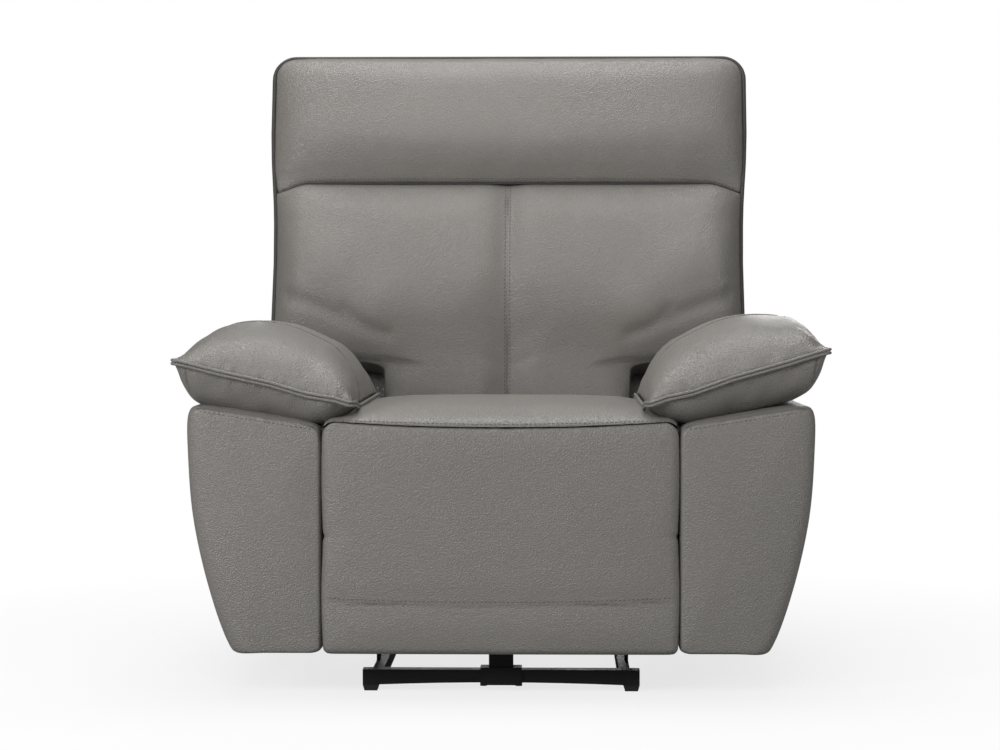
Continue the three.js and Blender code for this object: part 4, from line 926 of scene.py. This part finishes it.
def headrest_cover():
    top, corner = 0.8540, 0.040
    face_line = flat_curve(((0, -0.073), (0.03, -0.081), (0.08, -0.090), (0.16, -0.101), (0.27, -0.109),
                            (0.40, -0.110), (0.60, -0.105), (0.78, -0.099), (0.90, -0.093), (0.96, -0.086),
                            (1.0, -0.060)), 60)
    shares = list(np.linspace(0, 0.16, 7)) + list(np.linspace(0.20, 0.88, 20)) + [0.91, 0.94, 0.965, 0.983, 0.994, 1.0]
    front, rear = [], []
    for share in shares:
        level = back_seam_height + (top - back_seam_height) * share
        turn = min(1, max(0, (level - (top - corner)) / corner))
        half = rim_half(level) - corner * (1 - math.sqrt(1 - turn ** 2))
        face = read_off(face_line, share)
        near, far = [], []
        for u in across_shares(93):
            h = level + (back_seam(u * half) - back_seam_height) * (1 - share) ** 2
            near.append(in_back(u * half, rim_depth + (face - rim_depth) * (1 - abs(u) ** 7) ** 0.6, h))
            far.append(in_back(u * half, cushion_rear, h))
        front.append(near)
        rear.append(far)
    return slab("headrest_leather", front, rear, 5)


def rim_path():
    """The line of the back's piping, from low on the left, over the top, to low on the right."""
    corner, top, half, depth = 0.041, 0.8530, 0.4466, -0.0575
    line = [(-rim_half(h) - 0.0006, -0.058, h) for h in np.linspace(rim_low, top - corner, 30)]
    line += [(-half + corner - corner * math.cos(a), depth, top - corner + corner * math.sin(a))
             for a in np.linspace(0, math.pi / 2, 9)[1:]]
    line += [(x, depth, top) for x in np.linspace(-half + corner, 0, 20)[1:]]
    line += [(-x, t, h) for x, t, h in reversed(line[:-1])]
    return line


headrest_leather = headrest_cover()
rim_line = [in_back(*p) for p in rim_path()]
seam_front = [in_back(x, -0.0565 - 0.0170 * (1 - (abs(x) / 0.4425) ** 7) ** 0.6, back_seam(x))
              for x in np.linspace(-0.440, 0.440, 90)]


def headrest_held(x, y, z):
    p = unlean @ Vector((x, y, z))
    return p.y > -0.045 or p.z < back_seam(p.x) + 0.006


def gathered(cover, pucker, pitch, spread, seeds):
    """Draws a cover in along the piping, with puckers that slant away from it on both sides."""
    middle = len(rim_line) // 2
    for rim, slant, seed in zip((rim_line[:middle + 1], rim_line[middle:]), (0.9, -0.9), seeds):
        pressed(cover, [rim], 0.0010, 0.005, pucker=pucker, pitch=pitch, spread=spread, seed=seed, slant=slant,
                facing=(0, -1, 0))


stuffed(headrest_leather, [rim_line], headrest_held, cap=0.006, slack=0.012, calm=6)
gathered(headrest_leather, 0.0020, 0.030, 0.070, (11, 15))
pressed(headrest_leather, [seam_front], 0.0008, 0.004, pucker=0.0012, pitch=0.04, spread=0.05, seed=12)
hide_marked(headrest_leather, cover_leather)
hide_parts("headrest")
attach(headrest_leather, "back")

# The lower back cushion. Two panels of leather over fibre, sewn together along the middle of the back, that
# are fullest at the small of the back and fold below the wings. A row of stitches runs on each side.
face_curve = flat_curve(((0.062, -0.050), (0.12, -0.055), (0.18, -0.060), (0.24, -0.069), (0.275, -0.077),
                         (0.305, -0.089), (0.345, -0.105), (0.40, -0.113), (0.46, -0.111), (0.52, -0.103),
                         (0.56, -0.095), (0.59, -0.085), (0.5975, -0.073)), 60)
lower_top = 0.5975


def lower_face(level):
    """How far forward the lower cushion's panels stand: fullest at the small of the back."""
    return read_off(face_curve, level)


def lower_back_cover():
    foot, wing, foot_half = 0.062, back_wing_foot, 0.230

    def half_at(level):
        wings = eased(level, wing - 0.016, wing + 0.020)
        return foot_half + (rim_half(level) - foot_half) * wings - 0.008 * max(0.0, 1 - (level - foot) / 0.02) ** 2

    levels = list(np.linspace(foot, 0.236, 20)) + list(np.linspace(0.2425, 0.2885, 9))
    levels += list(np.linspace(0.297, 0.585, 32)) + [0.5915, 0.5955, lower_top]
    sides = [[Vector((side * half_at(h), h, 0)) for h in np.linspace(foot, lower_top, 500)] for side in (-1, 1)]
    flat = [Vector((u * half_at(level), level, 0)) for level in levels for u in across_shares(93)]
    inside, _ = reach_of(flat, sides)
    front, rear = [], []
    for level, depths in zip(levels, inside.reshape(len(levels), -1)):
        half = half_at(level)
        face = lower_face(level)
        near, far = [], []
        for u, depth in zip(across_shares(93), depths):
            x = u * half
            h = level + (back_seam(x) - back_seam_height) * eased(level, 0.50, 0.597)
            seam = 0.008 * math.exp(-((x / 0.030) ** 2))
            full = (1 - (1 - min(1, depth / 0.060)) ** 2.4) ** 0.62
            shoulder = -0.010 * math.exp(-(((abs(x) - 0.335) / 0.065) ** 2) - ((level - 0.430) / 0.070) ** 2)
            shoulder -= 0.008 * math.exp(-(((abs(x) - 0.245) / 0.055) ** 2) - ((level - 0.350) / 0.055) ** 2)
            near.append(in_back(x, min(-0.040, rim_depth + (face + seam + shoulder - rim_depth) * full), h))
            far.append(in_back(x, cushion_rear, h))
        front.append(near)
        rear.append(far)
    return slab("back_leather", front, rear, 5)


back_leather = lower_back_cover()
centre_seam = along_curve([in_back(0, lower_face(h) + 0.0075, h)
                           for h in (0.10, 0.18, 0.24, 0.30, 0.36, 0.42, 0.50, 0.56, 0.597)], 60)


def lower_back_held(x, y, z):
    p = unlean @ Vector((x, y, z))
    return p.y > -0.045 or p.z > back_seam(p.x) - 0.006 or p.z < 0.072


stuffed(back_leather, [rim_line, centre_seam], lower_back_held, cap=0.008, slack=0.012, calm=4)
folds = (((0.415, 0.372), (0.350, 0.352), (0.290, 0.330)), ((0.300, 0.345), (0.262, 0.318), (0.225, 0.305)))
fold_lines = [along_curve([in_back(side * x, lower_face(h), h) for x, h in fold], 24)
              for side in (-1, 1) for fold in folds]
fold_lines = [[spot for spot, _ in laid_on(line, back_leather, 0.006)] for line in fold_lines]
# The folds are pressed in, with a faint painted shade along them.
pressed(back_leather, fold_lines, 0.0050, 0.014, painted_shade=0.12)
gathered(back_leather, 0.0024, 0.032, 0.080, (13, 16))
pressed(back_leather, [centre_seam], 0.0016, 0.0024, pucker=0.0008, pitch=0.05, spread=0.03, seed=14)
hide_marked(back_leather, cover_leather)
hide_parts("back_cushion")
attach(back_leather, "back")
centre_rows = [[Vector((p.x + aside, p.y, p.z)) for p in centre_seam[1:-1]] for aside in (-0.0050, 0.0050)]
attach(topstitch("back_centre_topstitch", centre_rows, back_leather, thick=0.0014), "back")
seam_row = [in_back(x, -0.082 + 0.024 * (abs(x) / 0.4425) ** 6, back_seam(x) + 0.0065)
            for x in np.linspace(-0.428, 0.428, 90)]
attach(topstitch("headrest_topstitch", [seam_row], headrest_leather), "back")

# The piping and the headrest's seam lip. Rolls of the same leather over cord, sewn in at the edges, coloured far
# darker than the leather as painted shade for the grooves beside them.
piping_leather_with_painted_shade = grey_leather("piping_leather_with_painted_shade", color=(0.052, 0.049, 0.045), depth=0.0004, rough=0.6)
piping_line = along_curve([in_back(x * 1.002, t, h) for x, t, h in rim_path()], 320)
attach(roll("back_piping", piping_line, 0.0041, piping_leather_with_painted_shade), "back")
lip_line = along_curve([p + in_back(0, -0.0012, 0) - in_back(0, 0, 0) for p in seam_front[1:-1]], 140)
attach(roll("headrest_seam_lip", lip_line, 0.0019, piping_leather_with_painted_shade), "back")

# The rear cover. A flat panel of the same leather stapled round the back of the frame, with walls that
# come forward to meet the cushions.
rear_leather = grey_leather("rear_leather", color=(0.225, 0.212, 0.197))


rear_face = 0.0985


def rear_panel():
    foot, top, corner, wing, radius = -0.020, 0.842, 0.030, back_wing_foot, 0.014
    foot_half, wing_half = 0.284, 0.4425
    levels = [foot, foot + 0.003, foot + 0.010, foot + 0.022] + list(np.linspace(foot + 0.04, wing - 0.022, 18))
    levels += list(np.linspace(wing - 0.014, wing + 0.018, 8)) + list(np.linspace(wing + 0.03, top - 0.035, 34))
    levels += [top - 0.026, top - 0.018, top - 0.010, top - 0.004, top]
    front, rear = [], []
    for h in levels:
        turn = min(1, max(0, (h - (top - corner)) / corner))
        half = foot_half + (wing_half - foot_half) * eased(h, wing - 0.010, wing + 0.016)
        half -= corner * (1 - math.sqrt(1 - turn ** 2))
        edge = min(1, (h - foot) / radius, (top - h) / radius)
        near, far = [], []
        for u in across_shares(93):
            side = min(1, (1 - abs(u)) * half / radius)
            rounding = 1 - min(math.sqrt(1 - (1 - edge) ** 2), math.sqrt(1 - (1 - side) ** 2))
            near.append(in_back(u * half, 0.0198, h))
            far.append(in_back(u * half, rear_face - 0.010 * rounding, h))
        front.append(near)
        rear.append(far)
    return slab("rear_leather", front, rear, 5)


rear_cover = rear_panel()
smoothed(rear_cover)
# Painted shade: the rear cover's faces nearest the cushions, hidden behind them, are darkened by half to stand for the
# shade there.
shade_painted_behind = [float((unlean @ vertex.co).y < 0.030) for vertex in rear_cover.data.vertices]
rear_cover.data.attributes["painted_crease_shade"].data.foreach_set("value", shade_painted_behind)
hide_marked(rear_cover, rear_leather)
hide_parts("back_rear_cover")
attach(rear_cover, "back")
rear_rows = [[in_back(side * 0.426, rear_face, h) for h in np.linspace(0.290, 0.812, 20)] for side in (-1, 1)]
rear_rows.append([in_back(x, rear_face, 0.826) for x in np.linspace(-0.405, 0.405, 20)])
rear_rows += [[in_back(side * 0.268, rear_face, h) for h in np.linspace(0.0, 0.238, 12)] for side in (-1, 1)]
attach(topstitch("rear_topstitch", rear_rows, rear_cover), "back")

# The control panel. A moulded black plate let into the outer face of one arm, with four grey buttons that
# spring back: two drive the back and two the leg rest.
button_plastic = grainy("button_plastic", (0.16, 0.165, 0.17), 0.42, 0.0, 900, 0.0002)
dress(housing_plastic, "control_panel")
dress(button_plastic, "button_back_down", "button_back_up", "button_feet_up", "button_feet_down")
